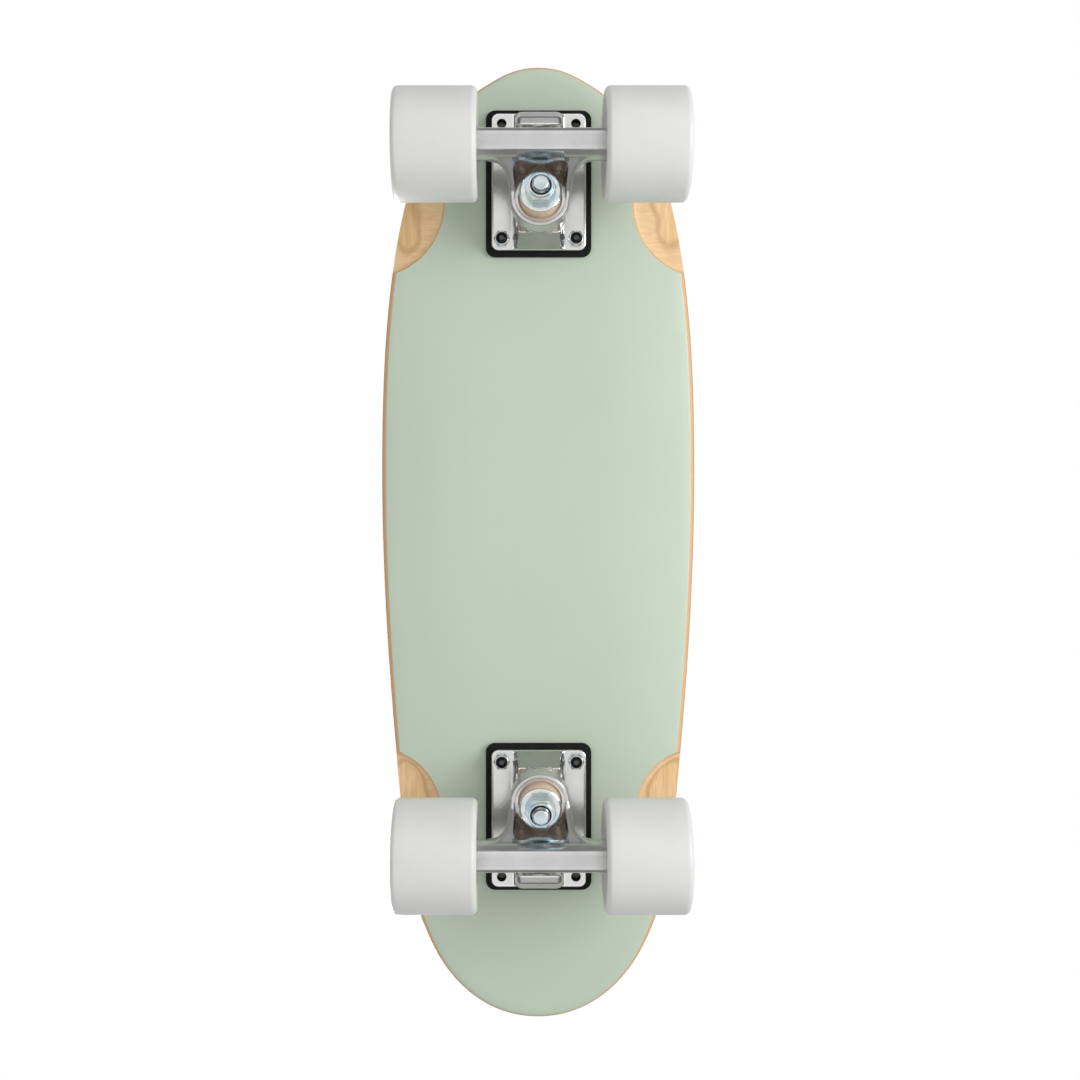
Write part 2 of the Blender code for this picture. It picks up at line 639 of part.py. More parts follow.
def inner_stack():
    """Inner races of both bearings, the spacer between them and the two speed washers."""
    race_end = BEARING_X + BEARING_HALF_WIDTH
    side = ((4.05, STACK_HALF_WIDTH), (6.2, STACK_HALF_WIDTH), (6.2, race_end + 0.05), (5.8, race_end))
    profile = side + tuple((r, -h) for r, h in reversed(side))
    return lathe(profile, 16, ring=True)


def wheel_solid():
    """Urethane wheel: square lips with a small round, dished faces and two bearing seats."""
    seat_depth = BEARING_X + BEARING_HALF_WIDTH + 0.05
    step = BEARING_X - BEARING_HALF_WIDTH - 0.05
    side = ((9.6, step), (11.05, step), (11.05, seat_depth), (14.4, 13.4), (17.6, WHEEL_HALF_WIDTH),
            (28.0, WHEEL_HALF_WIDTH), (WHEEL_RADIUS, 20.4))
    profile = tuple((r, -h) for r, h in side) + tuple(reversed(side))
    return lathe(profile, 32, ring=True)


def bearing_outer():
    """Outer race and both shields of one bearing."""
    half = BEARING_HALF_WIDTH
    return lathe(((10.98, -half), (10.98, half), (9.3, half), (6.2, half - 0.4), (6.2, 0.4 - half), (9.3, -half)),
                 16, ring=True)


def build_moving_side(truck, front):
    frame = truck_to_world(front)
    steer = (0.0, PIVOT_T, PIVOT_Z)
    make_node(f"hanger_{truck}", hanger(), "tumbled_aluminium", frame, steer)
    axle = lathe(((0.0, -AXLE_HALF_LENGTH), (3.3, -AXLE_HALF_LENGTH), (AXLE_RADIUS, 0.8 - AXLE_HALF_LENGTH),
                  (AXLE_RADIUS, AXLE_HALF_LENGTH - 0.8), (3.3, AXLE_HALF_LENGTH), (0.0, AXLE_HALF_LENGTH)), 16)
    make_node(f"axle_{truck}", moved(axle, along_x()), "zinc_steel", frame, steer)
    for side, sign in (("left", -1.0), ("right", 1.0)):
        nut = moved(lock_nut(12.7, AXLE_NUT_HEIGHT, 5.0, AXLE_RADIUS + 0.07, 16), along_x(AXLE_NUT_START))
        turn = Matrix.Identity(4) if sign > 0.0 else Matrix.Rotation(math.pi, 4, "Z")
        make_node(f"axle_nut_{truck}_{side}", moved(nut, turn), "zinc_steel", frame, steer)
        stack = moved(inner_stack(), along_x(sign * WHEEL_X))
        make_node(f"inner_races_{truck}_{side}", stack, "bearing_steel", frame, steer)
        hub = (sign * WHEEL_X, 0.0, AXLE_Z)
        make_node(f"wheel_{truck}_{side}", moved(wheel_solid(), along_x(sign * WHEEL_X)), "white_urethane", frame, hub)
        for place, offset in (("inner", -sign * BEARING_X), ("outer", sign * BEARING_X)):
            ring = moved(bearing_outer(), along_x(sign * WHEEL_X + offset))
            make_node(f"bearing_{truck}_{side}_{place}", ring, "bearing_steel", frame, hub)


build_deck()
build_fasteners()
for truck_name, is_front in (("front", True), ("rear", False)):
    build_deck_side(truck_name, is_front)
    build_moving_side(truck_name, is_front)
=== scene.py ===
"""Looks of the small cruiser skateboard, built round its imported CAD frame.

The board runs along Y with its nose at +Y, the axles along X, and it stands on
z = 0.  Shapes are modelled in millimetres and written in metres.  Truck pieces
are laid out in a truck frame (x, t, z): t = 0 is the axle and t points away
from the middle of the board, so both trucks share their meshes.
"""

import math

import bmesh
import bpy
from mathutils import Matrix, Vector
from mathutils.geometry import delaunay_2d_cdt


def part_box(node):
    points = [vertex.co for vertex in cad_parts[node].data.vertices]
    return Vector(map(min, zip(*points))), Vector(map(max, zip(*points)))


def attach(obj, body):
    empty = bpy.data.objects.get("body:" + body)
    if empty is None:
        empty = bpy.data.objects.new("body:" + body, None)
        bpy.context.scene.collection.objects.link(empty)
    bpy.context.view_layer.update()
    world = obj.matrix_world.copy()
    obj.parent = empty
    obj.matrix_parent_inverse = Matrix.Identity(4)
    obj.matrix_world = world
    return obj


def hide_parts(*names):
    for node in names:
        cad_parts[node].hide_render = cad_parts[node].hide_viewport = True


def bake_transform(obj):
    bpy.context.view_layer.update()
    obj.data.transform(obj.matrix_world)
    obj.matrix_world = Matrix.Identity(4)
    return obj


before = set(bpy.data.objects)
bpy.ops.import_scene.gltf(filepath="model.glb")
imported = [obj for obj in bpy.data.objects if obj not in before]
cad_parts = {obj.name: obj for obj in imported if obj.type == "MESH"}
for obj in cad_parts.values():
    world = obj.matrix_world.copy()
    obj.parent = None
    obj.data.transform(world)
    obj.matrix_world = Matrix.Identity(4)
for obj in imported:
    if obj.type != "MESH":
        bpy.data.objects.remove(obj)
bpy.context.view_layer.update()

MM = 0.001
TAU = 2.0 * math.pi

# ---- deck, as the CAD deck
DECK_BOTTOM_Z = 85.0
DECK_THICKNESS = 10.0
PLY = DECK_THICKNESS / 7.0
FLAT_HALF_WIDTH = 33.0
CONCAVE_RISE = 5.0
RAIL_HALF_WIDTH = 88.5
KICK_START_Y = -194.0
KICK_RADIUS = 100.0
KICK_ANGLE = math.radians(11.5)
OUTLINE = (
    (0.0, 269.5, 0.0, 0.0, 14.0),
    (30.0, 259.1, -31.0, 9.0, 22.0),
    (75.6, 191.5, -76.5, 26.0, 45.0),
    (88.5, 42.5, -90.0, 55.0, 58.0),
    (78.9, -132.5, -95.6, 58.0, 30.0),
    (58.8, -228.0, -115.6, 38.0, 20.0),
    (0.0, -269.5, -180.0, 31.0, 0.0),
)
OUTLINE_STEPS = (14, 26, 26, 26, 22, 30)
WELLS = ((93.0, 192.5, 40.4), (90.5, -150.5, 36.2))
WELL_TILT = math.radians(6.9)
WELL_PLANE_Z = 90.5
GRIP_Z = 95.1
GRIP_THICKNESS = 0.88
EDGE_RADIUS = 3.2
SKIN_PITCH = 5.0
SKIN_START_Y = -268.0
SKIN_ROWS = 108
SKIN_COLUMNS = 18

# ---- truck, as the CAD truck
AXLE_Z = 30.0
BASE_T = -9.5
BASE_WIDTH = 52.4
BASE_LENGTH = 76.0
BASE_CORNER = 3.8
BASE_BACK_Z = 82.0
FLANGE_Z = 77.0
RISER_WIDTH = 59.0
RISER_LENGTH = 82.0
BOLT_X = 20.65
BOLT_TS = (-41.6, 12.2, 22.8)
HOLE_RADIUS = 2.7
RING_T = -26.0
RING_Z = 47.5
KINGPIN_LEAN = math.radians(10.0)
SEAT_S = 21.15
KINGPIN_RADIUS = 4.75
ROAD_BUSHING = (-12.45, -0.4)
DECK_BUSHING = (2.9, 19.5)
PIVOT_T = 18.3
PIVOT_Z = 68.0
BEAM_HALF_WIDTH = 42.4
BEAM_END_RADIUS = 7.2
BEAM_SECTION = (
    (8.0, 3.5), (8.0, -4.4), (6.9, -6.9), (5.0, -8.0), (-0.8, -8.0), (-3.8, -7.2),
    (-6.6, -3.9), (-8.1, 0.0), (-7.9, 4.4), (-5.0, 7.9), (5.0, 8.0), (7.3, 6.2),
)
POCKET_EDGE_T = -5.0
POCKET_FLOOR_T = -17.0
SEAT_FLOOR_S = -3.5
RING_SKIRT = 5.2
WHEEL_RADIUS = 30.0
WHEEL_HALF_WIDTH = 22.0
BEARING_X = 8.55
BEARING_HALF_WIDTH = 3.5
AXLE_RADIUS = 3.98
AXLE_HALF_LENGTH = 75.5
AXLE_NUT_X = 68.2

# ---- lock nuts: across flats, height, height of the hexagon, the collar's step in, its lip over the nylon
MOUNT_NUT = (8.0, 5.0, 3.6, 0.12, 0.62)
KING_NUT = (14.3, 8.6, 6.4, 0.45, 1.15)
AXLE_NUT = (12.7, 6.8, 5.0, 0.3, 0.9)

# ---- slots of the casting and deck meshes
SKIN_SLOT = 0
MACHINED_SLOT = 1
# slot of the base's bolt holes: their walls take dark steel, painted shade in the bores
HOLE_SHADE_SLOT = 2
# slot of the darker skin: painted shade in the hanger's window, a painted dark reflection on the base's ramp
PAINTED_SHADE_SLOT = 3
PLY_EDGE_SLOT = 1
BARE_WOOD_SLOT = 2


# ================================================================ materials
NOISE_SPAN = (0.3, 0.7)


def add_node(tree, kind, inputs=(), **settings):
    """A new shader node; each input is a number, a vector, a colour or another node's output."""
    node = tree.nodes.new("ShaderNode" + kind)
    for name, value in settings.items():
        setattr(node, name, value)
    for socket, value in dict(inputs).items():
        if hasattr(value, "is_output"):
            tree.links.new(value, node.inputs[socket])
        else:
            node.inputs[socket].default_value = value
    return node


def add_ramp(tree, value, stops):
    ramp = add_node(tree, "ValToRGB", {0: value})
    elements = ramp.color_ramp.elements
    while len(elements) < len(stops):
        elements.new(0.5)
    for element, (position, colour) in zip(elements, stops):
        element.position = position
        element.color = (*colour, 1.0)
    return ramp.outputs["Color"]


class Finish:
    """A Principled material with a small graph of procedural nodes, in millimetres of object space."""

    def __init__(self, name, roughness=0.5, metallic=0.0, **sockets):
        self.material = bpy.data.materials.new(name)
        self.material.use_nodes = True
        self.tree = self.material.node_tree
        self.shader = self.tree.nodes["Principled BSDF"]
        self.shader.inputs["Roughness"].default_value = roughness
        self.shader.inputs["Metallic"].default_value = metallic
        for socket, value in sockets.items():
            title = socket.replace("_", " ").title().replace("Ior", "IOR")
            self.shader.inputs[title].default_value = value
        where = self.add("TexCoord").outputs["Object"]
        self.mm = self.add("VectorMath", {0: where, "Scale": 1.0 / MM}, operation="SCALE").outputs[0]

    def add(self, kind, inputs=(), **settings):
        return add_node(self.tree, kind, inputs, **settings)

    def stretched(self, x, y, z):
        """The millimetre coordinates with each axis scaled."""
        return self.add("VectorMath", {0: self.mm, 1: (x, y, z)}, operation="MULTIPLY").outputs[0]

    def noise(self, scale, detail=2.0, rough=0.5, vector=None, distortion=0.0):
        """Noise from 0 to 1 with a scale in cycles per millimetre."""
        return self.add("TexNoise", {"Vector": vector or self.mm, "Scale": scale, "Detail": detail,
                                     "Roughness": rough, "Distortion": distortion}).outputs["Fac"]

    def cells(self, scale):
        return self.add("TexVoronoi", {"Vector": self.mm, "Scale": scale}).outputs["Distance"]

    def attribute(self, name):
        return self.add("Attribute", attribute_name=name).outputs["Fac"]

    def maths(self, operation, a, b=0.0, clamp=False):
        return self.add("Math", {0: a, 1: b}, operation=operation, use_clamp=clamp).outputs[0]

    def remap(self, value, low, high, to_low=0.0, to_high=1.0):
        return self.add("MapRange", {"Value": value, "From Min": low, "From Max": high, "To Min": to_low,
                                     "To Max": to_high}).outputs["Result"]

    def spread(self, value, to_low=0.0, to_high=1.0):
        """A noise's usual span stretched over the given one."""
        return self.remap(value, *NOISE_SPAN, to_low, to_high)

    def ramp(self, value, *stops):
        return add_ramp(self.tree, value, stops)

    def mix(self, share, a, b):
        a, b = (value if hasattr(value, "is_output") else (*value, 1.0) for value in (a, b))
        return self.add("Mix", {0: share, 6: a, 7: b}, data_type="RGBA").outputs[2]

    def colour(self, value):
        self.tree.links.new(value, self.shader.inputs["Base Color"])
        return self

    def roughness(self, noise, low, high):
        self.tree.links.new(self.spread(noise, low, high), self.shader.inputs["Roughness"])
        return self

    def bump(self, height, depth):
        """Bump from a 0 to 1 height that stands for a relief of depth millimetres; calls stack up."""
        node = self.add("Bump", {"Strength": 1.0, "Distance": depth * MM, "Height": height})
        socket = self.shader.inputs["Normal"]
        if socket.is_linked:
            self.tree.links.new(socket.links[0].from_socket, node.inputs["Normal"])
        self.tree.links.new(node.outputs["Normal"], socket)
        return self


def paint_finish():
    """Satin mint lacquer sprayed over the bottom ply, with the faintest trace of grain below."""
    f = Finish("mint_lacquer", 0.42, specular_ior_level=0.42)
    cloud = f.noise(0.011, 2.0)
    grain = f.noise(1.0, 3.0, vector=f.stretched(0.7, 0.018, 0.7))
    base = f.ramp(f.spread(cloud), (0.0, (0.500, 0.585, 0.468)), (1.0, (0.522, 0.606, 0.490)))
    f.colour(f.mix(f.remap(grain, 0.45, 0.75, 0.0, 0.10), base, (0.470, 0.545, 0.430)))
    f.roughness(f.noise(0.25, 3.0), 0.36, 0.46)
    f.bump(grain, 0.02).bump(f.noise(1.3, 1.0), 0.012)
    return f.material


def maple_colour(f, across, along):
    """Maple figure: pale body, fine pores and soft rays."""
    broad = f.noise(1.0, 3.0, 0.55, f.stretched(across * 0.10, along * 0.10, 0.10), 0.6)
    streak = f.noise(1.0, 4.0, 0.6, f.stretched(across, along, 0.8))
    pores = f.noise(1.0, 2.0, 0.5, f.stretched(across * 4.0, along * 3.0, 2.0))
    body = f.ramp(f.remap(broad, 0.25, 0.75), (0.0, (0.69, 0.430, 0.195)), (0.45, (0.80, 0.535, 0.270)),
                  (1.0, (0.865, 0.640, 0.380)))
    body = f.mix(f.remap(streak, 0.40, 0.70, 0.0, 0.60), body, (0.60, 0.340, 0.130))
    body = f.mix(f.remap(pores, 0.60, 0.75, 0.0, 0.35), body, (0.53, 0.290, 0.110))
    return body, streak, pores


def well_finish():
    """Bare oiled maple milled through the plies: dark glue lines and a change of grain where a ply ends."""
    f = Finish("bare_maple", 0.46, specular_ior_level=0.38)
    depth = f.attribute("ply")
    wander = f.maths("MULTIPLY", f.maths("SUBTRACT", f.noise(0.045, 1.0), 0.5), 0.60)
    level = f.maths("DIVIDE", f.maths("ADD", depth, wander), PLY)
    along_grain, streak, pores = maple_colour(f, 1.0, 0.07)
    cross_grain, _, _ = maple_colour(f, 0.09, 0.9)
    odd = f.maths("GREATER_THAN", f.maths("MODULO", level, 2.0), 1.0)
    body = f.mix(f.maths("MULTIPLY", odd, 0.85), along_grain, cross_grain)
    body = f.mix(f.maths("MULTIPLY", odd, 0.14), body, (0.95, 0.80, 0.62))
    phase = f.maths("PINGPONG", level, 0.5)
    glue = f.maths("SUBTRACT", 1.0, f.remap(phase, 0.015, 0.075), clamp=True)
    first = f.maths("GREATER_THAN", level, 0.5)
    body = f.mix(f.maths("MULTIPLY", f.maths("MULTIPLY", glue, first), 0.38), body, (0.36, 0.165, 0.045))
    wall = f.maths("SUBTRACT", 1.0, f.remap(depth, 0.9, 1.5), clamp=True)
    body = f.mix(f.maths("MULTIPLY", wall, 0.62), body, (0.60, 0.325, 0.110))
    f.colour(body)
    f.roughness(f.noise(0.5, 3.0), 0.40, 0.54)
    f.bump(streak, 0.05).bump(pores, 0.03)
    return f.material


def edge_finish():
    """Sanded ply edge: seven veneers, alternately end grain and long grain, with brown glue lines."""
    f = Finish("ply_edge", 0.50, specular_ior_level=0.35)
    depth = f.attribute("ply")
    level = f.maths("DIVIDE", f.maths("ADD", depth, f.maths("MULTIPLY", f.noise(0.05, 1.0), 0.12)), PLY)
    odd = f.maths("GREATER_THAN", f.maths("MODULO", level, 2.0), 1.0)
    fibres = f.noise(1.0, 3.0, 0.6, f.stretched(0.35, 0.22, 6.0))
    ends = f.noise(2.6, 2.0, 0.6)
    pale = f.mix(f.remap(fibres, 0.35, 0.7, 0.0, 0.5), (0.70, 0.445, 0.235), (0.545, 0.310, 0.140))
    dark = f.mix(f.remap(ends, 0.35, 0.7, 0.0, 0.5), (0.60, 0.335, 0.170), (0.44, 0.220, 0.095))
    body = f.mix(odd, pale, dark)
    phase = f.maths("PINGPONG", level, 0.5)
    glue = f.maths("SUBTRACT", 1.0, f.remap(phase, 0.02, 0.09), clamp=True)
    inner = f.maths("GREATER_THAN", level, 0.5)
    body = f.mix(f.maths("MULTIPLY", f.maths("MULTIPLY", glue, inner), 0.75), body, (0.235, 0.105, 0.040))
    f.colour(body)
    f.bump(fibres, 0.04).bump(ends, 0.02)
    return f.material


def grip_finish():
    """Black abrasive grit in resin, with a few grains that glint."""
    f = Finish("grip_grit", 0.9, specular_ior_level=0.35)
    grit = f.cells(2.1)
    fine = f.noise(4.2, 2.0, 0.7)
    worn = f.noise(0.012, 3.0, 0.55)
    dark = f.mix(f.remap(fine, 0.45, 0.75), (0.010, 0.010, 0.011), (0.040, 0.040, 0.043))
    dark = f.mix(f.remap(worn, 0.45, 0.70, 0.0, 0.35), dark, (0.055, 0.054, 0.052))
    f.colour(f.mix(f.remap(grit, 0.10, 0.02), dark, (0.22, 0.22, 0.23)))
    f.roughness(fine, 0.62, 0.95)
    f.bump(grit, 0.28).bump(fine, 0.12)
    return f.material


def rubber_finish():
    f = Finish("riser_rubber", 0.62, specular_ior_level=0.10)
    cloud = f.noise(0.12, 3.0)
    f.colour(f.mix(f.spread(cloud), (0.0070, 0.0070, 0.0076), (0.0115, 0.0115, 0.0122)))
    f.roughness(f.noise(0.8, 2.0), 0.50, 0.70)
    f.bump(f.noise(2.2, 2.0), 0.03)
    return f.material


def nylon_finish(name, dark):
    f = Finish(name, 0.40, specular_ior_level=0.22)
    tone = (0.011, 0.011, 0.012) if dark else (0.62, 0.60, 0.55)
    lift = tuple(min(1.0, c * 1.5 + 0.004) for c in tone)
    f.colour(f.mix(f.spread(f.noise(0.5, 2.0)), tone, lift))
    f.roughness(f.noise(1.2, 2.0), 0.32, 0.48)
    f.bump(f.noise(3.0, 1.0), 0.01)
    return f.material


def base_alloy():
    """Bright vibratory-polished casting: a soft pebbled skin with bright high spots."""
    f = Finish("bright_casting", 0.18, 1.0)
    pebble = f.noise(0.85, 3.0, 0.55)
    fine = f.noise(3.6, 2.0, 0.5)
    cloud = f.noise(0.09, 2.0)
    tone = f.mix(f.spread(cloud), (0.70, 0.697, 0.693), (0.78, 0.777, 0.773))
    f.colour(f.mix(f.remap(pebble, 0.62, 0.80, 0.0, 0.25), tone, (0.50, 0.495, 0.49)))
    f.roughness(fine, 0.15, 0.22)
    f.bump(pebble, 0.042).bump(fine, 0.008)
    return f.material


def hanger_alloy():
    """Tumbled casting: satin, with fine specks and a few small pits."""
    f = Finish("tumbled_casting", 0.33, 1.0)
    speck = f.noise(2.6, 3.0, 0.65)
    pits = f.cells(0.62)
    cloud = f.noise(0.07, 2.0)
    tone = f.mix(f.spread(cloud), (0.60, 0.595, 0.595), (0.67, 0.665, 0.665))
    tone = f.mix(f.remap(speck, 0.54, 0.74, 0.0, 0.60), tone, (0.42, 0.415, 0.41))
    f.colour(f.mix(f.remap(pits, 0.075, 0.035, 0.0, 0.8), tone, (0.22, 0.215, 0.21)))
    f.roughness(speck, 0.28, 0.38)
    f.bump(speck, 0.024).bump(f.remap(pits, 0.0, 0.10), 0.02)
    return f.material


def smooth_skin_painted_shade_alloy(name, low, high):
    """Smooth die skin, less rough than the tumbled outside of the casting; its darker tone is painted:
    painted shade on the hanger window's walls, a painted dark reflection on the base's ramp.
    """
    f = Finish(name, 0.22, 1.0)
    flow = f.noise(0.16, 3.0, 0.5)
    f.colour(f.mix(f.spread(flow), low, high))
    f.roughness(flow, 0.19, 0.25)
    f.bump(f.noise(0.5, 1.0), 0.008)
    return f.material


def turned_alloy():
    """Machined seats: fine concentric tool marks."""
    f = Finish("turned_alloy", 0.33, 1.0)
    marks = f.noise(1.0, 2.0, 0.5, f.stretched(1.6, 1.6, 9.0))
    f.colour(f.mix(f.spread(marks), (0.68, 0.665, 0.65), (0.79, 0.78, 0.765)))
    f.roughness(marks, 0.28, 0.38)
    f.bump(marks, 0.014)
    return f.material


def zinc_finish(name, tint, low=0.09, high=0.20):
    """Bright zinc with a thin passivation film that drifts from blue to straw."""
    f = Finish(name, 0.14, 1.0)
    drift = f.noise(0.11, 1.0, 0.5, distortion=0.3)
    film = f.ramp(f.spread(drift), (0.0, (0.40, 0.53, 0.60)), (0.40, (0.55, 0.64, 0.67)),
                  (0.66, (0.64, 0.68, 0.67)), (0.86, (0.68, 0.67, 0.56)), (1.0, (0.48, 0.60, 0.62)))
    plain = (0.58, 0.63, 0.66)
    f.colour(f.mix(tint, plain, film))
    scuff = f.noise(1.6, 3.0, 0.6)
    f.roughness(scuff, low, high)
    f.bump(scuff, 0.006)
    return f.material


def steel_finish(name, tone, rough):
    f = Finish(name, rough, 1.0)
    scuff = f.noise(1.1, 3.0, 0.6)
    worn = tuple(min(1.0, c * 1.35 + 0.01) for c in tone)
    f.colour(f.mix(f.remap(scuff, 0.35, 0.75), tone, worn))
    f.roughness(scuff, rough - 0.07, rough + 0.09)
    f.bump(scuff, 0.010)
    return f.material


def bushing_finish():
    """Milky amber urethane, paler on the moulded skirt that sits against the metal."""
    f = Finish("bushing_urethane", 0.34, subsurface_weight=0.12, specular_ior_level=0.45)
    f.shader.inputs["Subsurface Radius"].default_value = (1.0, 0.55, 0.30)
    f.shader.inputs["Subsurface Scale"].default_value = 0.0015
    skirt = f.attribute("skirt")
    cloud = f.noise(0.35, 2.0)
    amber = f.mix(f.spread(cloud), (0.66, 0.490, 0.345), (0.73, 0.570, 0.425))
    f.colour(f.mix(skirt, amber, (0.66, 0.600, 0.535)))
    f.roughness(f.noise(1.5, 2.0), 0.28, 0.42)
    f.bump(f.noise(1.1, 2.0), 0.015)
    return f.material


def wheel_finish():
    """White urethane with a satin moulded skin and the faintest scuffing on the tread."""
    f = Finish("wheel_urethane", 0.40, subsurface_weight=0.08, specular_ior_level=0.45)
    f.shader.inputs["Subsurface Radius"].default_value = (1.0, 0.95, 0.85)
    f.shader.inputs["Subsurface Scale"].default_value = 0.002
    cloud = f.noise(0.05, 3.0)
    scuff = f.noise(0.9, 3.0, 0.6, f.stretched(0.25, 1.0, 1.0))
    tone = f.mix(f.spread(cloud), (0.690, 0.687, 0.670), (0.720, 0.718, 0.703))
    f.colour(f.mix(f.remap(scuff, 0.62, 0.85, 0.0, 0.12), tone, (0.60, 0.597, 0.58)))
    f.roughness(scuff, 0.34, 0.48)
    f.bump(scuff, 0.012).bump(f.noise(2.5, 1.0), 0.006)
    return f.material


PAINT = paint_finish()
MAPLE = well_finish()
EDGE = edge_finish()
GRIP = grip_finish()
RUBBER = rubber_finish()
BASE = base_alloy()
HANGER = hanger_alloy()
# painted shade: the hanger window's walls, in shade under the beam, are coloured darker than the casting
POCKET_SHADE_SKIN = smooth_skin_painted_shade_alloy("pocket_painted_shade", (0.47, 0.485, 0.50), (0.56, 0.575, 0.59))
# painted dark reflection: the base's ramp is coloured darker than the polished plate
RAMP_REFLECTION_SKIN = smooth_skin_painted_shade_alloy("ramp_painted_reflection", (0.44, 0.438, 0.435), (0.50, 0.498, 0.495))
TURNED = turned_alloy()
ZINC = zinc_finish("zinc_passivated", 0.85)
ZINC_PLAIN = zinc_finish("zinc_plain", 0.30, 0.20, 0.32)
RACE = steel_finish("race_steel", (0.55, 0.55, 0.56), 0.20)
SHIELD = steel_finish("shield_steel", (0.36, 0.365, 0.37), 0.34)
BOLT_STEEL = steel_finish("black_oxide", (0.030, 0.030, 0.032), 0.36)
BOLT_TIP = steel_finish("bolt_tip_steel", (0.075, 0.075, 0.078), 0.42)
NYLON_BLACK = nylon_finish("nylon_black", True)
NYLON_NATURAL = nylon_finish("nylon_natural", False)
AMBER = bushing_finish()
URETHANE = wheel_finish()


# ================================================================ solids in millimetres
def outward(bm):
    bmesh.ops.recalc_face_normals(bm, faces=bm.faces)
    if bm.calc_volume(signed=True) < 0.0:
        bmesh.ops.reverse_faces(bm, faces=bm.faces)
    return bm


def eased(points, radius, steps=4, closed=False):
    """A profile with its corners rounded by short arcs of about the given radius."""
    count = len(points)
    result = []
    for i, here in enumerate(points):
        if not closed and i in (0, count - 1):
            result.append(tuple(here))
            continue
        here = Vector(here)
        before = Vector(points[i - 1]) - here
        after = Vector(points[(i + 1) % count]) - here
        if before.angle(after, math.pi) > math.radians(176.0):
            result.append(tuple(here))
            continue
        half = before.angle(after) / 2.0
        reach = min(radius / math.tan(half), 0.45 * before.length, 0.45 * after.length)
        start = here + before.normalized() * reach
        end = here + after.normalized() * reach
        for k in range(steps + 1):
            s = k / steps
            result.append(tuple(start * (1.0 - s) ** 2 + here * 2.0 * s * (1.0 - s) + end * s * s))
    return result


def on_circle(radius, angle):
    return radius * math.cos(angle), radius * math.sin(angle)


def lathe(profile, segments, ring=False):
    """Turn (radius, height) points about Z; ring=True closes the profile on itself."""
    bm = bmesh.new()
    rows = []
    for radius, height in profile:
        if radius < 1e-6:
            rows.append([bm.verts.new((0.0, 0.0, height))])
            continue
        rows.append([bm.verts.new((*on_circle(radius, TAU * i / segments), height)) for i in range(segments)])
    pairs = list(zip(rows, rows[1:]))
    if ring:
        pairs.append((rows[-1], rows[0]))
    for low, high in pairs:
        for i in range(segments):
            j = (i + 1) % segments
            if len(low) == 1:
                bm.faces.new((low[0], high[i], high[j]))
            elif len(high) == 1:
                bm.faces.new((low[i], low[j], high[0]))
            else:
                bm.faces.new((low[i], low[j], high[j], high[i]))
    return outward(bm)


def prism(outline, low, high):
    bm = bmesh.new()
    bottom = [bm.verts.new((a, b, low)) for a, b in outline]
    top = [bm.verts.new((a, b, high)) for a, b in outline]
    bm.faces.new(bottom)
    bm.faces.new(top)
    for i in range(len(outline)):
        j = (i + 1) % len(outline)
        bm.faces.new((bottom[i], bottom[j], top[j], top[i]))
    return outward(bm)


def skinned(rows):
    """Closed solid through rings of points, with flat ends."""
    bm = bmesh.new()
    rings = [[bm.verts.new(point) for point in row] for row in rows]
    count = len(rings[0])
    for low, high in zip(rings, rings[1:]):
        for i in range(count):
            j = (i + 1) % count
            bm.faces.new((low[i], low[j], high[j], high[i]))
    bm.faces.new(rings[0])
    bm.faces.new(rings[-1])
    return outward(bm)


def bevelled(bm, edges, width, segments):
    bmesh.ops.bevel(bm, geom=edges, offset=width, segments=segments, profile=0.5, affect="EDGES")
    return bm


def is_level(edge):
    return abs(edge.verts[0].co.z - edge.verts[1].co.z) < 1e-6


def side_prism(outline, half_width, bevel=0.0, segments=5):
    """Extrude a (t, z) side profile across x."""
    bm = prism(outline, -half_width, half_width)
    if bevel:
        bevelled(bm, [e for e in bm.edges if is_level(e)], bevel, segments)
    bm.transform(Matrix(((0, 0, 1, 0), (1, 0, 0, 0), (0, 1, 0, 0), (0, 0, 0, 1))))
    return outward(bm)


def narrowed(bm, near_t, near_width, far_t, far_width):
    for vert in bm.verts:
        s = min(1.0, max(0.0, (vert.co.y - near_t) / (far_t - near_t)))
        vert.co.x *= near_width + (far_width - near_width) * s
    return bm


def rounded_rectangle(width, length, radius, centre_y, steps=10):
    points = []
    for corner, (sx, sy) in enumerate(((1, 1), (-1, 1), (-1, -1), (1, -1))):
        for k in range(steps + 1):
            x, y = on_circle(radius, math.radians(90.0 * (corner + k / steps)))
            points.append((sx * (width / 2.0 - radius) + x, sy * (length / 2.0 - radius) + y + centre_y))
    return points


def hexagon(across_flats):
    radius = across_flats / math.sqrt(3.0)
    return [on_circle(radius, math.radians(60.0 * k)) for k in range(6)]


def mesh_of(name, bm, materials=()):
    """Turn a solid into a mesh and free it."""
    mesh = bpy.data.meshes.new(name)
    bm.to_mesh(mesh)
    bm.free()
    for material in materials:
        mesh.materials.append(material)
    return mesh


def linked(name, data, place=None):
    """A new object in the scene, at its place if it has one."""
    thing = bpy.data.objects.new(name, data)
    bpy.context.scene.collection.objects.link(thing)
    if place is not None:
        thing.matrix_world = place
    return thing


def evaluated(holder):
    graph = bpy.context.evaluated_depsgraph_get()
    result = bmesh.new()
    result.from_object(holder, graph)
    return result


def discard(holders):
    for holder in holders:
        mesh = holder.data
        bpy.data.objects.remove(holder, do_unlink=True)
        bpy.data.meshes.remove(mesh)


def painted(bm, index):
    for face in bm.faces:
        face.material_index = index
    return bm


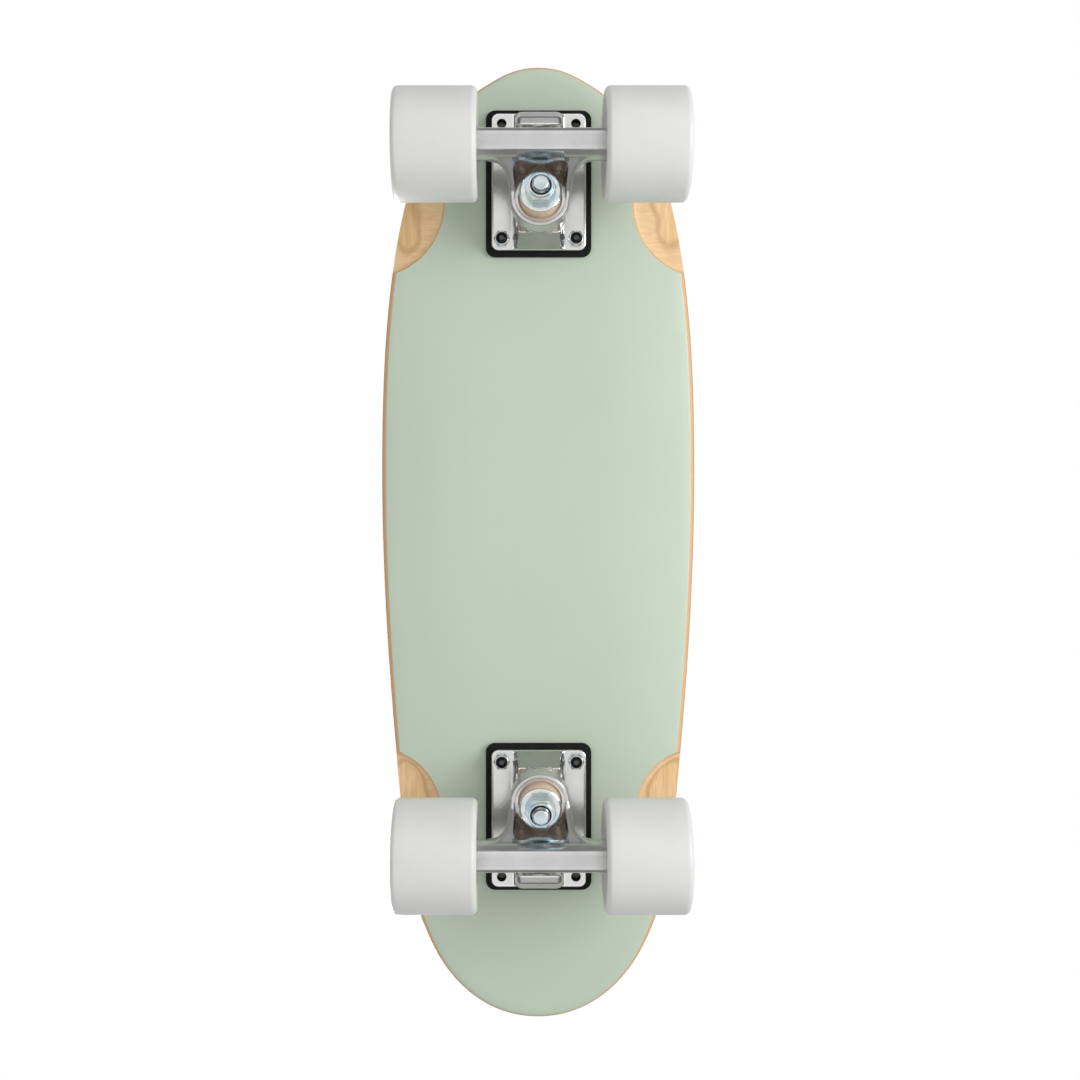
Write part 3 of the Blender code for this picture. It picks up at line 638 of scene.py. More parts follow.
def boolean(body, tools, operation):
    """Exact boolean; each solid's face material indices are kept."""
    slots = [PAINT] * (PAINTED_SHADE_SLOT + 1)
    holders = [linked("scratch", mesh_of("scratch", bm, slots)) for bm in [body] + list(tools)]
    for tool in holders[1:]:
        modifier = holders[0].modifiers.new("step", "BOOLEAN")
        modifier.operation = operation
        modifier.solver = "EXACT"
        modifier.material_mode = "INDEX"
        modifier.object = tool
    result = evaluated(holders[0])
    discard(holders)
    return result


def union(*solids):
    return boolean(solids[0], solids[1:], "UNION")


def minus(body, *tools):
    return boolean(body, tools, "DIFFERENCE")


def merged(*parts):
    whole = bmesh.new()
    for part in parts:
        mesh = mesh_of("scratch", part)
        whole.from_mesh(mesh)
        bpy.data.meshes.remove(mesh)
    return whole


def moved(bm, matrix):
    bm.transform(matrix)
    return bm


def cylinder(radius, low, high, segments=48):
    return lathe(((0.0, low), (radius, low), (radius, high), (0.0, high)), segments)


def cast(bm, voxel, rounds):
    """Foundry look: rebuild the skin evenly and relax it, so that every edge and corner gets a fillet."""
    holder = linked("scratch", mesh_of("scratch", bm))
    remesh = holder.modifiers.new("skin", "REMESH")
    remesh.mode = "VOXEL"
    remesh.voxel_size = voxel
    relax = holder.modifiers.new("relax", "SMOOTH")
    relax.factor = 0.5
    relax.iterations = rounds
    result = evaluated(holder)
    discard([holder])
    return result


def relaxed(bm, chosen, rounds):
    """Ease out the part of a skin whose points pass the test."""
    verts = [v for v in bm.verts if chosen(v.co)]
    axes = {f"use_axis_{axis}": True for axis in "xyz"}
    for _ in range(rounds):
        bmesh.ops.smooth_vert(bm, verts=verts, factor=0.5, **axes)
    return bm


# ================================================================ frames
def along_x(x=0.0, z=AXLE_Z):
    return Matrix.Translation((x, 0.0, z)) @ Matrix.Rotation(math.pi / 2.0, 4, "Y")


KINGPIN_LINE = Matrix.Translation((0.0, RING_T, RING_Z)) @ Matrix.Rotation(KINGPIN_LEAN, 4, "X")
PIVOT_TILT = math.atan2(PIVOT_Z - RING_Z, PIVOT_T - RING_T) - math.pi / 2.0
PIVOT_LINE = Matrix.Translation((0.0, PIVOT_T, PIVOT_Z)) @ Matrix.Rotation(PIVOT_TILT, 4, "X")
UPSIDE_DOWN = Matrix.Rotation(math.pi, 4, "X")


def on_kingpin(bm, slot=SKIN_SLOT):
    """Stand a solid on the kingpin's line, its faces in one slot."""
    return painted(moved(bm, KINGPIN_LINE), slot)


def centre(node):
    low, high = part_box(node)
    return (low + high) / 2.0


TRUCKS = {}
for truck_name, turned in (("front", 0.0), ("rear", math.pi)):
    axle_place = Matrix.Translation((0.0, centre(f"axle_{truck_name}").y, 0.0))
    TRUCKS[truck_name] = axle_place @ Matrix.Rotation(turned, 4, "Z")


def finished_mesh(name, bm, materials, sharp=35.0):
    """Write a solid as a mesh in metres."""
    bm.transform(Matrix.Scale(MM, 4))
    mesh = mesh_of(name, bm, materials)
    mesh.shade_smooth()
    mesh.set_sharp_from_angle(angle=math.radians(sharp))
    return mesh


def place_piece(name, mesh, place, body, slot, *nodes):
    piece = linked(name, mesh, place)
    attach(piece, body)
    if nodes:
        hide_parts(*nodes)
    return piece


# ================================================================ deck
def smoothstep(low, high, value):
    s = min(1.0, max(0.0, (value - low) / (high - low)))
    return s * s * (3.0 - 2.0 * s)


def deck_lift(x, y):
    """Height of the deck surface above its flat centre: concave rails and the kicked tail."""
    side = max(0.0, abs(x) - FLAT_HALF_WIDTH) / (RAIL_HALF_WIDTH - FLAT_HALF_WIDTH)
    lift = CONCAVE_RISE * side * side * (1.0 - 0.45 * smoothstep(205.0, 265.0, abs(y)))
    run = KICK_START_Y - y
    if run > 0.0:
        arc = KICK_RADIUS * math.sin(KICK_ANGLE)
        if run < arc:
            lift += KICK_RADIUS - math.sqrt(KICK_RADIUS ** 2 - run ** 2)
        else:
            lift += KICK_RADIUS * (1.0 - math.cos(KICK_ANGLE)) + (run - arc) * math.tan(KICK_ANGLE)
    return lift


def bezier(p0, p1, p2, p3, s):
    r = 1.0 - s
    return p0 * r ** 3 + p1 * 3.0 * r * r * s + p2 * 3.0 * r * s * s + p3 * s ** 3


def deck_outline():
    right = []
    for start, end, steps in zip(OUTLINE, OUTLINE[1:], OUTLINE_STEPS):
        heading0, heading1 = math.radians(start[2]), math.radians(end[2])
        p0, p3 = Vector(start[:2]), Vector(end[:2])
        p1 = p0 + start[4] * Vector((math.cos(heading0), math.sin(heading0)))
        p2 = p3 - end[3] * Vector((math.cos(heading1), math.sin(heading1)))
        right += [bezier(p0, p1, p2, p3, k / steps) for k in range(steps)]
    right.append(Vector(OUTLINE[-1][:2]))
    return right + [Vector((-p.x, p.y)) for p in reversed(right[1:-1])]


def inset(outline, distance):
    """The outline moved inwards, by one distance or by a function of the point."""
    count = len(outline)
    points = []
    for i, here in enumerate(outline):
        run = (outline[(i + 1) % count] - outline[i - 1]).normalized()
        reach = distance(here) if callable(distance) else distance
        points.append(here + reach * Vector((run.y, -run.x)))
    return points


def inside(point, outline):
    hit = False
    for a, b in zip(outline, outline[1:] + outline[:1]):
        if (a.y > point.y) != (b.y > point.y):
            if point.x < a.x + (point.y - a.y) * (b.x - a.x) / (b.y - a.y):
                hit = not hit
    return hit


def deck_skin(outline):
    """Points and triangles of a sheet within the outline, on a square grid."""
    keep_in = inset(outline, 3.0)
    points = list(outline)
    for row in range(SKIN_ROWS):
        y = SKIN_START_Y + SKIN_PITCH * row
        for column in range(-SKIN_COLUMNS, SKIN_COLUMNS + 1):
            here = Vector((column * SKIN_PITCH, y))
            if inside(here, keep_in):
                points.append(here)
    result = delaunay_2d_cdt(points, [], [list(range(len(outline)))], 1, 1e-6)
    return result[0], result[2]


def loop_solid(outline, profile, base):
    """Closed solid over an outline: stacked inset loops, with skins that follow the concave."""
    bm = bmesh.new()
    count = len(outline)
    rows = []
    for distance, height in profile:
        row = []
        for here, p in zip(outline, inset(outline, distance)):
            level = height(here) if callable(height) else height
            row.append(bm.verts.new((p.x, p.y, base + level + deck_lift(p.x, p.y))))
        rows.append(row)
    for level, (low, high) in enumerate(zip(rows, rows[1:])):
        for i in range(count):
            j = (i + 1) % count
            face = bm.faces.new((low[i], low[j], high[j], high[i]))
            face.material_index = 0 if level == 0 else 1
    for row, (distance, height), index in ((rows[0], profile[0], 0), (rows[-1], profile[-1], 1)):
        points, triangles = deck_skin(inset(outline, distance))
        verts = []
        for k, p in enumerate(points):
            if k < count:
                verts.append(row[k])
            else:
                verts.append(bm.verts.new((p.x, p.y, base + height + deck_lift(p.x, p.y))))
        for triangle in triangles:
            bm.faces.new([verts[k] for k in triangle]).material_index = index
    return outward(bm)


def paint_reach(p):
    """How far in from the edge the lacquer stops: wider along the sides than round the two ends."""
    return 2.35 - 1.05 * smoothstep(190.0, 255.0, abs(p.y))


def round_height(distance):
    return EDGE_RADIUS - math.sqrt(max(0.0, EDGE_RADIUS ** 2 - (EDGE_RADIUS - distance) ** 2))


def deck_profile():
    profile = [(EDGE_RADIUS, 0.0), (paint_reach, lambda p: round_height(paint_reach(p)))]
    for k in (0.34, 0.55, 0.74, 0.88, 1.0):
        # rest of the lower round, scaled to start where the lacquer stops
        profile.append((lambda p, k=k: paint_reach(p) * (1.0 - k) ** 1.6,
                        lambda p, k=k: round_height(paint_reach(p) * (1.0 - k) ** 1.6)))
    profile += [(0.0, 5.0), (0.0, 7.4), (0.18, 8.6), (0.7, 9.4), (1.5, 9.85), (2.6, 10.0)]
    return profile


def well_cutter(side, centre_x, centre_y, radius):
    """Milled scoop: a steep wall with a small cove, then a floor that follows the rail's slope."""
    floor = radius - 3.2
    profile = [(0.0, -4.0), (radius + 2.0, -4.0), (radius, 0.0), (radius - 0.35, 0.75),
               (radius - 0.9, 1.35), (radius - 1.8, 1.82), (floor, 2.1)]
    for k in range(1, 13):
        s = k / 12.0
        profile.append((floor * (1.0 - s), 2.1 + 0.6 * (1.0 - (1.0 - s) ** 2.2)))
    tilt = Matrix.Rotation(-side * WELL_TILT, 4, "Y")
    place = Matrix.Translation((side * centre_x, centre_y, WELL_PLANE_Z)) @ tilt
    return painted(moved(lathe(profile, 120), place), BARE_WOOD_SLOT)


def at_bolts(make):
    """One solid per truck bolt, moved to its bolt, all in one."""
    spots = [centre(f"bolt_{name}") / MM for name in BOLTS]
    return merged(*[moved(make(), Matrix.Translation((spot.x, spot.y, 0.0))) for spot in spots])


def build_deck():
    outline = deck_outline()
    wells = [well_cutter(side, *well) for well in WELLS for side in (1.0, -1.0)]
    shape = ((0.0, 80.0), (2.65, 80.0), (2.65, 92.3), (5.2, 95.0), (5.2, 101.0), (0.0, 101.0))
    holes = at_bolts(lambda: painted(lathe(shape, 32), PLY_EDGE_SLOT))
    deck = minus(loop_solid(outline, deck_profile(), DECK_BOTTOM_Z), merged(*wells), holes)
    layer = deck.verts.layers.float.new("ply")
    for vert in deck.verts:
        vert[layer] = vert.co.z - DECK_BOTTOM_Z - deck_lift(vert.co.x, vert.co.y)
    mesh = finished_mesh("deck_body", deck, [PAINT, EDGE, MAPLE], 30.0)
    place_piece("deck_body", mesh, Matrix.Identity(4), "board", "deck_paint", "deck")


def build_grip():
    outline = deck_outline()
    profile = [(2.62, 0.0), (2.58, 0.5), (2.66, 0.78), (2.95, GRIP_THICKNESS)]
    holes = at_bolts(lambda: cylinder(5.45, 90.0, 100.0, 32))
    grip = minus(loop_solid(outline, profile, GRIP_Z), holes)
    mesh = finished_mesh("grip_sheet", painted(grip, SKIN_SLOT), [GRIP], 40.0)
    place_piece("grip_sheet", mesh, Matrix.Identity(4), "board", "grip", "grip_tape")


# ================================================================ fasteners
BOLTS = [f"{truck}_{row}_{side}" for truck in ("front", "rear") for row in ("inner", "outer")
         for side in ("left", "right")]


def interpolated(profile, z):
    for (z0, r0), (z1, r1) in zip(profile, profile[1:]):
        if z0 <= z <= z1:
            return r0 + (r1 - r0) * (z - z0) / max(1e-9, z1 - z0)
    return profile[-1][1]


def rod(profile, threads, segments):
    """Round bar along Z from (z, radius) points; threads are (low, high, pitch, depth) stretches."""
    levels = set(z for z, _ in profile)
    for low, high, pitch, _ in threads:
        count = int((high - low) / pitch * 6)
        levels |= set(low + (high - low) * k / count for k in range(count + 1))
    levels = sorted(z for z in levels if profile[0][0] <= z <= profile[-1][0])
    rows = []
    for z in levels:
        row = []
        for i in range(segments):
            radius = interpolated(profile, z)
            for low, high, pitch, depth in threads:
                if low < z < high:
                    fade = min(1.0, (z - low) / pitch, (high - z) / pitch * 3.0)
                    groove = abs(2.0 * ((z / pitch - i / segments) % 1.0) - 1.0)
                    radius -= depth * fade * min(1.0, max(0.0, 1.3 * groove - 0.15))
            row.append((*on_circle(radius, TAU * i / segments), z))
        rows.append(row)
    return skinned(rows)


def nut_body(size, bore):
    """Chamfered hexagon with a rolled collar; the collar is open so that its nylon ring shows."""
    across_flats, height, hex_height, collar_gap, lip = size
    corner = across_flats / math.sqrt(3.0) + 0.2
    half = across_flats / 2.0
    top = half - 0.15
    blank = prism(hexagon(across_flats), 0.0, hex_height)
    upright = [e for e in blank.edges if abs(e.verts[0].co.z - e.verts[1].co.z) > 1.0]
    bevelled(blank, upright, 0.22, 2)
    cone = lathe(((0.0, -0.5), (half, -0.5), (half, 0.0), (corner, 0.55), (corner, hex_height - 0.75),
                  (top, hex_height), (top, hex_height + 0.5), (0.0, hex_height + 0.5)), 72)
    blank = boolean(blank, [cone], "INTERSECT")
    outer = half - collar_gap
    wall = eased(((outer - 0.5, hex_height - 0.6), (outer, hex_height - 0.55), (outer, height - 0.1),
                  (outer - lip, height), (outer - lip, height - 0.55)), 0.35)
    collar = lathe([(0.0, hex_height - 0.6)] + wall[1:] + [(0.0, height - 0.55)], 72)
    return minus(union(blank, collar), cylinder(bore, -1.0, height + 1.0, 48))


def nylon_ring(size, bore):
    across_flats, height, _, collar_gap, lip = size
    outer = across_flats / 2.0 - collar_gap - lip - 0.02
    profile = ((bore, height - 0.53), (outer, height - 0.53), (outer, height - 0.18), (bore, height - 0.12))
    return lathe(eased(profile, 0.18, 3, True), 48, ring=True)


def build_mount_bolts():
    head = DECK_BOTTOM_Z + DECK_THICKNESS + 0.7
    tip = -24.4
    shank = 2.42
    profile = [(tip, 1.35), (tip + 0.25, 1.6), (tip + 1.0, 2.2), (tip + 1.3, shank), (-2.7, shank),
               (-0.35, 4.62), (-0.1, 4.7), (0.0, 4.6)]
    bolt = minus(rod(profile, [(tip + 0.2, -9.0, 0.8, 0.34)], 32), prism(hexagon(3.2), -2.2, 1.0))
    for face in bolt.faces:
        if face.calc_center_median().z < tip + 0.2:
            face.material_index = 1
    bolt_mesh = finished_mesh("mount_bolt", bolt, [BOLT_STEEL, BOLT_TIP], 30.0)
    nut = moved(nut_body(MOUNT_NUT, shank + 0.04), UPSIDE_DOWN)
    nut_mesh = finished_mesh("mount_nut", nut, [ZINC], 30.0)
    ring = moved(nylon_ring(MOUNT_NUT, shank + 0.03), UPSIDE_DOWN)
    ring_mesh = finished_mesh("mount_nut_nylon", ring, [NYLON_BLACK], 30.0)
    for index, name in enumerate(BOLTS):
        low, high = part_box(f"nut_{name}")
        spot = (low + high) / 2.0
        spin = Matrix.Rotation(math.radians(17.0 + 23.0 * index), 4, "Z")
        top = Matrix.Translation((spot.x, spot.y, head * MM)) @ spin
        place_piece(f"machine_bolt_{name}", bolt_mesh, top, "board", "black_steel", f"bolt_{name}")
        flats = Matrix.Translation((spot.x, spot.y, high.z))
        place_piece(f"lock_nut_{name}", nut_mesh, flats, "board", "zinc", f"nut_{name}")
        place_piece(f"nylon_insert_{name}", ring_mesh, flats, "board", "nylon")


# ================================================================ truck, deck side
def bolt_hole_tools(low, high):
    tools = []
    for t in BOLT_TS:
        for x in (-BOLT_X, BOLT_X):
            tools.append(moved(cylinder(HOLE_RADIUS, low, high, 32), Matrix.Translation((x, t, 0.0))))
    return merged(*tools)


def riser_pad():
    outline = rounded_rectangle(RISER_WIDTH, RISER_LENGTH, BASE_CORNER + 1.4, BASE_T)
    pad = prism(outline, BASE_BACK_Z + 0.05, DECK_BOTTOM_Z - 0.05)
    bevelled(pad, [e for e in pad.edges if is_level(e)], 0.45, 3)
    return minus(pad, bolt_hole_tools(70.0, 90.0))


def flare_section():
    """Cross-section of the base's centre: flat spine with hollow fillets running out to the plate."""
    right = []
    for k in range(8):
        angle = math.radians(90.0 * k / 7.0)
        right.append((12.0 + 4.4 * (1.0 - math.sin(angle)), 77.35 - 3.6 * (1.0 - math.cos(angle))))
    right = [(16.4, 79.0)] + right
    return right + [(-x, z) for x, z in reversed(right)]


def cup_bore(clearance):
    return ((7.2 + clearance, 1.0), (4.8 + clearance, 5.2 + clearance), (3.4 + clearance, 6.3 + clearance))


def on_ramp(point):
    """True on the sloping face at the base's inboard end."""
    return abs(point.x) < 12.4 and point.y < -40.0 and point.z < FLANGE_Z - 0.4


def baseplate():
    """Plate with a flared spine, a boss for the kingpin, a housing for the pivot cup and a ramp."""
    outline = rounded_rectangle(BASE_WIDTH + 0.3, BASE_LENGTH + 0.3, BASE_CORNER, BASE_T)
    plate = prism(outline, FLANGE_Z, BASE_BACK_Z)
    rim = [e for e in plate.edges if all(abs(v.co.z - FLANGE_Z) < 1e-6 for v in e.verts)]
    bevelled(plate, rim, 0.7, 3)
    spine = side_prism(((-47.6, 79.0), (-47.6, 77.3), (-39.6, 65.6), (-17.2, 70.9), (-8.0, 73.8),
                        (8.0, 73.8), (8.0, 78.5)), 1.0)
    spine = narrowed(spine, -47.3, 12.6, -40.0, 11.4)
    flare = moved(prism(flare_section(), -27.0, 47.3), Matrix.Rotation(math.pi / 2.0, 4, "X"))
    boss = on_kingpin(lathe(((0.0, SEAT_S - 0.1), (11.6, SEAT_S - 0.1), (12.1, SEAT_S + 0.6), (14.0, 31.5),
                             (0.0, 31.5)), 64))
    housing = side_prism(((28.1, 78.5), (27.3, 69.0), (25.5, 62.5), (21.6, 57.4), (16.9, 55.2),
                          (8.5, 73.8), (6.4, 78.5)), 13.1, 3.6, 6)
    foot = side_prism(((-55.0, 76.95), (-47.4, 76.95), (-39.55, 65.5), (-39.55, 55.0), (-55.0, 55.0)), 18.0)
    skin = cast(minus(union(plate, flare, spine, boss, housing), foot), 0.42, 7)
    for vert in skin.verts:
        vert.co.z = min(vert.co.z, BASE_BACK_Z)
    # the ramp's faces take the darker skin: a painted dark reflection
    for face in skin.faces:
        if on_ramp(face.calc_center_median()):
            face.material_index = PAINTED_SHADE_SLOT
    seat = on_kingpin(cylinder(12.6, SEAT_S - 6.0, SEAT_S, 64), MACHINED_SLOT)
    head_room = on_kingpin(cylinder(8.7, 26.9, 45.0, 48))
    pin_hole = on_kingpin(cylinder(KINGPIN_RADIUS + 0.15, 10.0, 40.0, 48), MACHINED_SLOT)
    cup_shape = ((0.0, -20.0), (7.3, -20.0)) + cup_bore(0.1) + ((0.0, 6.4),)
    cup_hole = painted(moved(lathe(cup_shape, 64), PIVOT_LINE), MACHINED_SLOT)
    # the bolt holes' walls take the dark bolt-tip steel: painted shade in the bores
    holes = painted(bolt_hole_tools(60.0, 90.0), HOLE_SHADE_SLOT)
    return minus(skin, seat, head_room, pin_hole, cup_hole, holes)


def pivot_cup():
    inner = ((5.7, -7.6), (4.95, 0.0), (4.4, 2.6), (2.9, 4.4), (0.0, 5.2))
    outer = ((8.4, -7.6), (8.6, -6.7), (7.2, -6.6)) + cup_bore(0.0) + ((0.0, 6.3),)
    return lathe(eased(tuple(reversed(inner)) + outer, 0.4, 3), 64)


def kingpin():
    tip = -26.5
    shaft = rod([(tip, 3.4), (tip + 0.25, 3.95), (tip + 1.0, 4.6), (tip + 1.6, KINGPIN_RADIUS),
                 (30.0, KINGPIN_RADIUS)], [(tip + 0.5, -13.0, 1.06, 0.42)], 48)
    head = prism(hexagon(KING_NUT[0]), 27.0, 32.4)
    return union(shaft, head)


def bushing(name, low, high, wide, narrow, wide_low, truck):
    """Urethane cone; its skirt attribute marks the moulded rim at the wide end."""
    bore = KINGPIN_RADIUS + 0.3
    height = high - low
    rim = 1.9
    profile = ((bore, 0.0), (wide, 0.0), (wide, rim), (wide - 0.75, rim + 0.6), (narrow, height),
               (bore, height))
    bm = lathe(eased(profile, 0.5, 4, True), 72, ring=True)
    layer = bm.verts.layers.float.new("skirt")
    for vert in bm.verts:
        vert[layer] = 1.0 - smoothstep(rim, rim + 0.8, vert.co.z)
    flip = Matrix.Identity(4) if wide_low else Matrix.Translation((0, 0, height)) @ UPSIDE_DOWN
    bm.transform(KINGPIN_LINE @ Matrix.Translation((0, 0, low)) @ flip)
    return linked(name, finished_mesh(name, bm, [AMBER], 40.0), TRUCKS[truck])


def build_bushings(truck):
    """Each bushing runs from its washer, held by the board, to its seat in the hanger."""
    road_washer, road_seat = ROAD_BUSHING
    deck_seat, deck_washer = DECK_BUSHING
    for name, low, high, wide, narrow, wide_low, start, end in (
            ("road", road_washer, road_seat, 11.6, 11.0, False, road_washer + 1.0, road_seat - 1.0),
            ("deck", deck_seat, deck_washer, 12.7, 10.6, True, deck_washer - 1.0, deck_seat + 1.0)):
        piece = bushing(f"urethane_{name}_{truck}", low, high, wide, narrow, wide_low, truck)
        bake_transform(piece)
        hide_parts(f"bushing_{name}_{truck}")


def deck_side_meshes():
    """Meshes in the truck frame that both trucks use, each with its name, slot and CAD node."""
    bore = KINGPIN_RADIUS + 0.2
    low = ROAD_BUSHING[0] - 0.05
    road_washer = eased(((bore, low - 1.6), (10.3, low - 1.6), (11.3, low - 1.0), (11.3, low), (bore, low)),
                        0.45, 4, True)
    nut_place = KINGPIN_LINE @ Matrix.Translation((0, 0, low - 1.7)) @ UPSIDE_DOWN
    low = DECK_BUSHING[1] + 0.05
    high = SEAT_S - 0.05
    deck_washer = eased(((bore, low), (11.2, low), (11.2, low + 1.0), (10.6, high), (bore, high)),
                        0.35, 4, True)
    nut = moved(nut_body(KING_NUT, KINGPIN_RADIUS + 0.06), nut_place)
    nylon = moved(nylon_ring(KING_NUT, KINGPIN_RADIUS + 0.04), nut_place)
    road_solid = on_kingpin(lathe(road_washer, 72, ring=True))
    deck_solid = on_kingpin(lathe(deck_washer, 72, ring=True))
    pieces = (
        ("riser_pad", riser_pad(), [RUBBER], 40.0, "riser_rubber", "riser"),
        # the base's third slot puts dark bolt-tip steel on the bolt holes' walls as painted shade; its fourth
        # is the ramp's painted dark reflection
        ("base_casting", baseplate(), [BASE, TURNED, BOLT_TIP, RAMP_REFLECTION_SKIN], 38.0, "polished_alloy", "baseplate"),
        ("cup_insert", moved(pivot_cup(), PIVOT_LINE), [NYLON_BLACK], 50.0, "nylon", "pivot_cup"),
        ("king_bolt", on_kingpin(kingpin()), [ZINC_PLAIN], 32.0, "zinc", "kingpin"),
        ("king_nut", nut, [ZINC], 30.0, "zinc", "kingpin_nut"),
        ("king_nut_nylon", nylon, [NYLON_BLACK], 30.0, "nylon", None),
        ("cup_washer_road", road_solid, [ZINC], 40.0, "zinc", "washer_road"),
        ("cup_washer_deck", deck_solid, [ZINC], 40.0, "zinc", "washer_deck"),
    )
    return [(name, finished_mesh(name, solid, materials, sharp), slot, node)
            for name, solid, materials, sharp, slot, node in pieces]


# ================================================================ truck, moving side
def resampled(outline, count):
    """Equally spaced points round a closed outline, starting from its first point."""
    points = [Vector(p) for p in outline]
    lengths = [(b - a).length for a, b in zip(points, points[1:] + points[:1])]
    total = sum(lengths)
    result = []
    edge = 0
    run = 0.0
    for k in range(count):
        goal = total * k / count
        while run + lengths[edge] < goal:
            run += lengths[edge]
            edge += 1
        share = (goal - run) / lengths[edge]
        result.append(points[edge].lerp(points[(edge + 1) % len(points)], share))
    return result


def hanger_beam():
    """Axle beam: one flat-faced section, rounded off only behind the wheels."""
    section = resampled(eased(BEAM_SECTION, 1.3, 4, True), 96)
    ends = ((37.5, 0.0), (39.4, 0.25), (41.0, 0.7), (BEAM_HALF_WIDTH, 1.0))
    stations = [(-x, roundness) for x, roundness in reversed(ends)] + list(ends)
    rows = []
    for x, roundness in stations:
        points = [p.lerp(p.normalized() * BEAM_END_RADIUS, roundness) for p in section]
        rows.append([(x, p.x, AXLE_Z + p.y) for p in points])
    return skinned(rows)


def web_outline():
    """Web in plan: round at the ring, straight arms, and hollow corners where they meet the beam."""
    ring = 15.5
    corner = 9.0
    right = []
    for k in range(9):
        angle = math.radians(10.0 * k)
        right.append((ring * math.sin(angle), RING_T - ring * math.cos(angle)))
    right.append((17.1, -17.6))
    for k in range(11):
        angle = math.radians(9.0 * k)
        right.append((26.4 - corner * math.cos(angle), -16.8 + corner * math.sin(angle)))
    right += [(29.0, -7.2), (31.5, -6.0), (33.5, -4.0), (33.5, 2.0)]
    return right + [(-x, t) for x, t in reversed(right[1:])]


def pocket_loop(half_top, half_low, edge_t, corner, z):
    """One level of the window: straight across its beam side, open towards the ring."""
    right = [(half_low, RING_T)]
    for k in range(9):
        x, t = on_circle(corner, math.radians(90.0 * k / 8))
        right.append((half_top - corner + x, edge_t - corner + t))
    return [(x, t, z) for x, t in right] + [(-x, t, z) for x, t in reversed(right)]


def pocket_profile():
    """(t, z) down the middle of the window: rim, sloping lip under the beam, then a steep wall."""
    lip = ((-4.7, 12.0), (-4.8, 23.0), (-5.0, 25.0), (-6.0, 26.3), (-7.2, 27.7), (-8.2, 29.4),
           (-9.0, 31.8), (-10.0, 35.2), (-11.3, 39.6), (-12.9, 43.6), (-17.0, 48.1))
    return eased(lip, 1.2, 3)


def pocket_tool(floor_s):
    """Scoop between the arms, stacked from rounded levels and stopped at a height along the kingpin."""
    rows = []
    for t, z in pocket_profile():
        fall = min(1.0, max(0.0, (POCKET_EDGE_T - t) / (POCKET_EDGE_T - POCKET_FLOOR_T)))
        rows.append(pocket_loop(14.75 - 7.0 * fall ** 3, 13.8, t, 4.6 - 2.0 * fall, z))
    return minus(skinned(rows), on_kingpin(cylinder(40.0, floor_s, 60.0, 24)))


def seat_ring():
    """Bushing seat: a turned ring with a straight wall, cut down to its seat floor on the beam's side."""
    rim = -4.65
    profile = eased(((13.0, rim), (15.2, rim), (15.7, -4.1), (15.7, RING_SKIRT - 0.6),
                     (15.2, RING_SKIRT), (13.0, RING_SKIRT)), 0.3, 4)
    ring = lathe([(0.0, rim)] + profile[1:-1] + [(0.0, RING_SKIRT)], 96)
    beam_side = prism(((-14.4, 0.37), (14.4, 0.37), (14.4, 20.0), (-14.4, 20.0)), -10.0, SEAT_FLOOR_S)
    return on_kingpin(minus(ring, beam_side))


def on_inboard_flank(point):
    """True where the beam's inboard side runs into the web, outside the arms."""
    return 20.0 < abs(point.x) < 37.0 and -9.5 < point.y < -2.0 and point.z < 29.5


def on_arms(point):
    return point.y < -17.0 and point.z < 43.5


def hanger():
    """Casting: beam, web, pivot stem and ring, with a window between the arms and turned seats."""
    road_line = ((-27.0, 42.9), (-22.6, 41.4), (-18.0, 37.2), (-12.0, 31.6), (-6.6, 26.8), (-3.9, 24.2))
    tub = side_prism(road_line + ((4.0, 24.0), (6.5, 26.0), (6.5, 37.0), (3.5, 45.0), (-3.0, 51.5),
                                  (-13.0, 55.0), (-27.0, 51.7)), 1.0)
    tub = narrowed(tub, -27.0, 15.5, -17.0, 17.3)
    under = side_prism(road_line + ((2.0, 24.0), (2.0, 36.6), (-8.0, 37.4), (-16.0, 44.0),
                                    (-27.0, 51.0)), 38.0)
    web = boolean(prism(web_outline(), 10.0, 60.0), [under], "INTERSECT")
    stem = moved(lathe(((0.0, -34.0), (4.6, -33.0), (7.6, -27.0), (8.3, -19.0), (5.4, -8.5), (4.6, 0.0),
                        (3.9, 2.5), (2.4, 4.1), (0.0, 4.7)), 48), PIVOT_LINE)
    rib = side_prism(((-8.0, 48.0), (2.0, 36.0), (7.2, 35.0), (9.6, 50.0), (9.0, 60.0), (-4.0, 56.0)),
                     6.5, 1.5)
    rough_ring = on_kingpin(cylinder(15.3, -4.2, RING_SKIRT - 0.4, 64))
    body = cast(union(hanger_beam(), tub, web, stem, rib, rough_ring), 0.5, 5)
    body = relaxed(body, on_inboard_flank, 12)
    body = relaxed(body, on_arms, 8)
    # the window's floor lies below the ring's seat, so that no two surfaces coincide
    body = cast(minus(body, pocket_tool(SEAT_FLOOR_S + 0.8)), 0.36, 3)
    # the window's walls take the darker skin: painted shade under the beam
    for face in body.faces:
        face.material_index = PAINTED_SHADE_SLOT if inside_pocket(face.calc_center_median()) else SKIN_SLOT
    body = union(body, seat_ring())
    recess = 13.8
    groove = 13.15
    steps = ((0.0, -45.0), (recess, -45.0), (recess, -1.5), (groove, -1.5), (groove, SEAT_FLOOR_S),
             (11.8, SEAT_FLOOR_S), (11.8, -0.35), (0.0, -0.35))
    seat = on_kingpin(lathe(steps, 96), MACHINED_SLOT)
    deck_seat = on_kingpin(cylinder(13.3, 2.85, 40.0, 96), MACHINED_SLOT)
    pin_room = on_kingpin(cylinder(6.8, -10.0, 10.0, 48), MACHINED_SLOT)
    axle_bore = painted(moved(cylinder(AXLE_RADIUS + 0.07, -60.0, 60.0, 32), along_x()), MACHINED_SLOT)
    return minus(body, seat, deck_seat, pin_room, axle_bore)


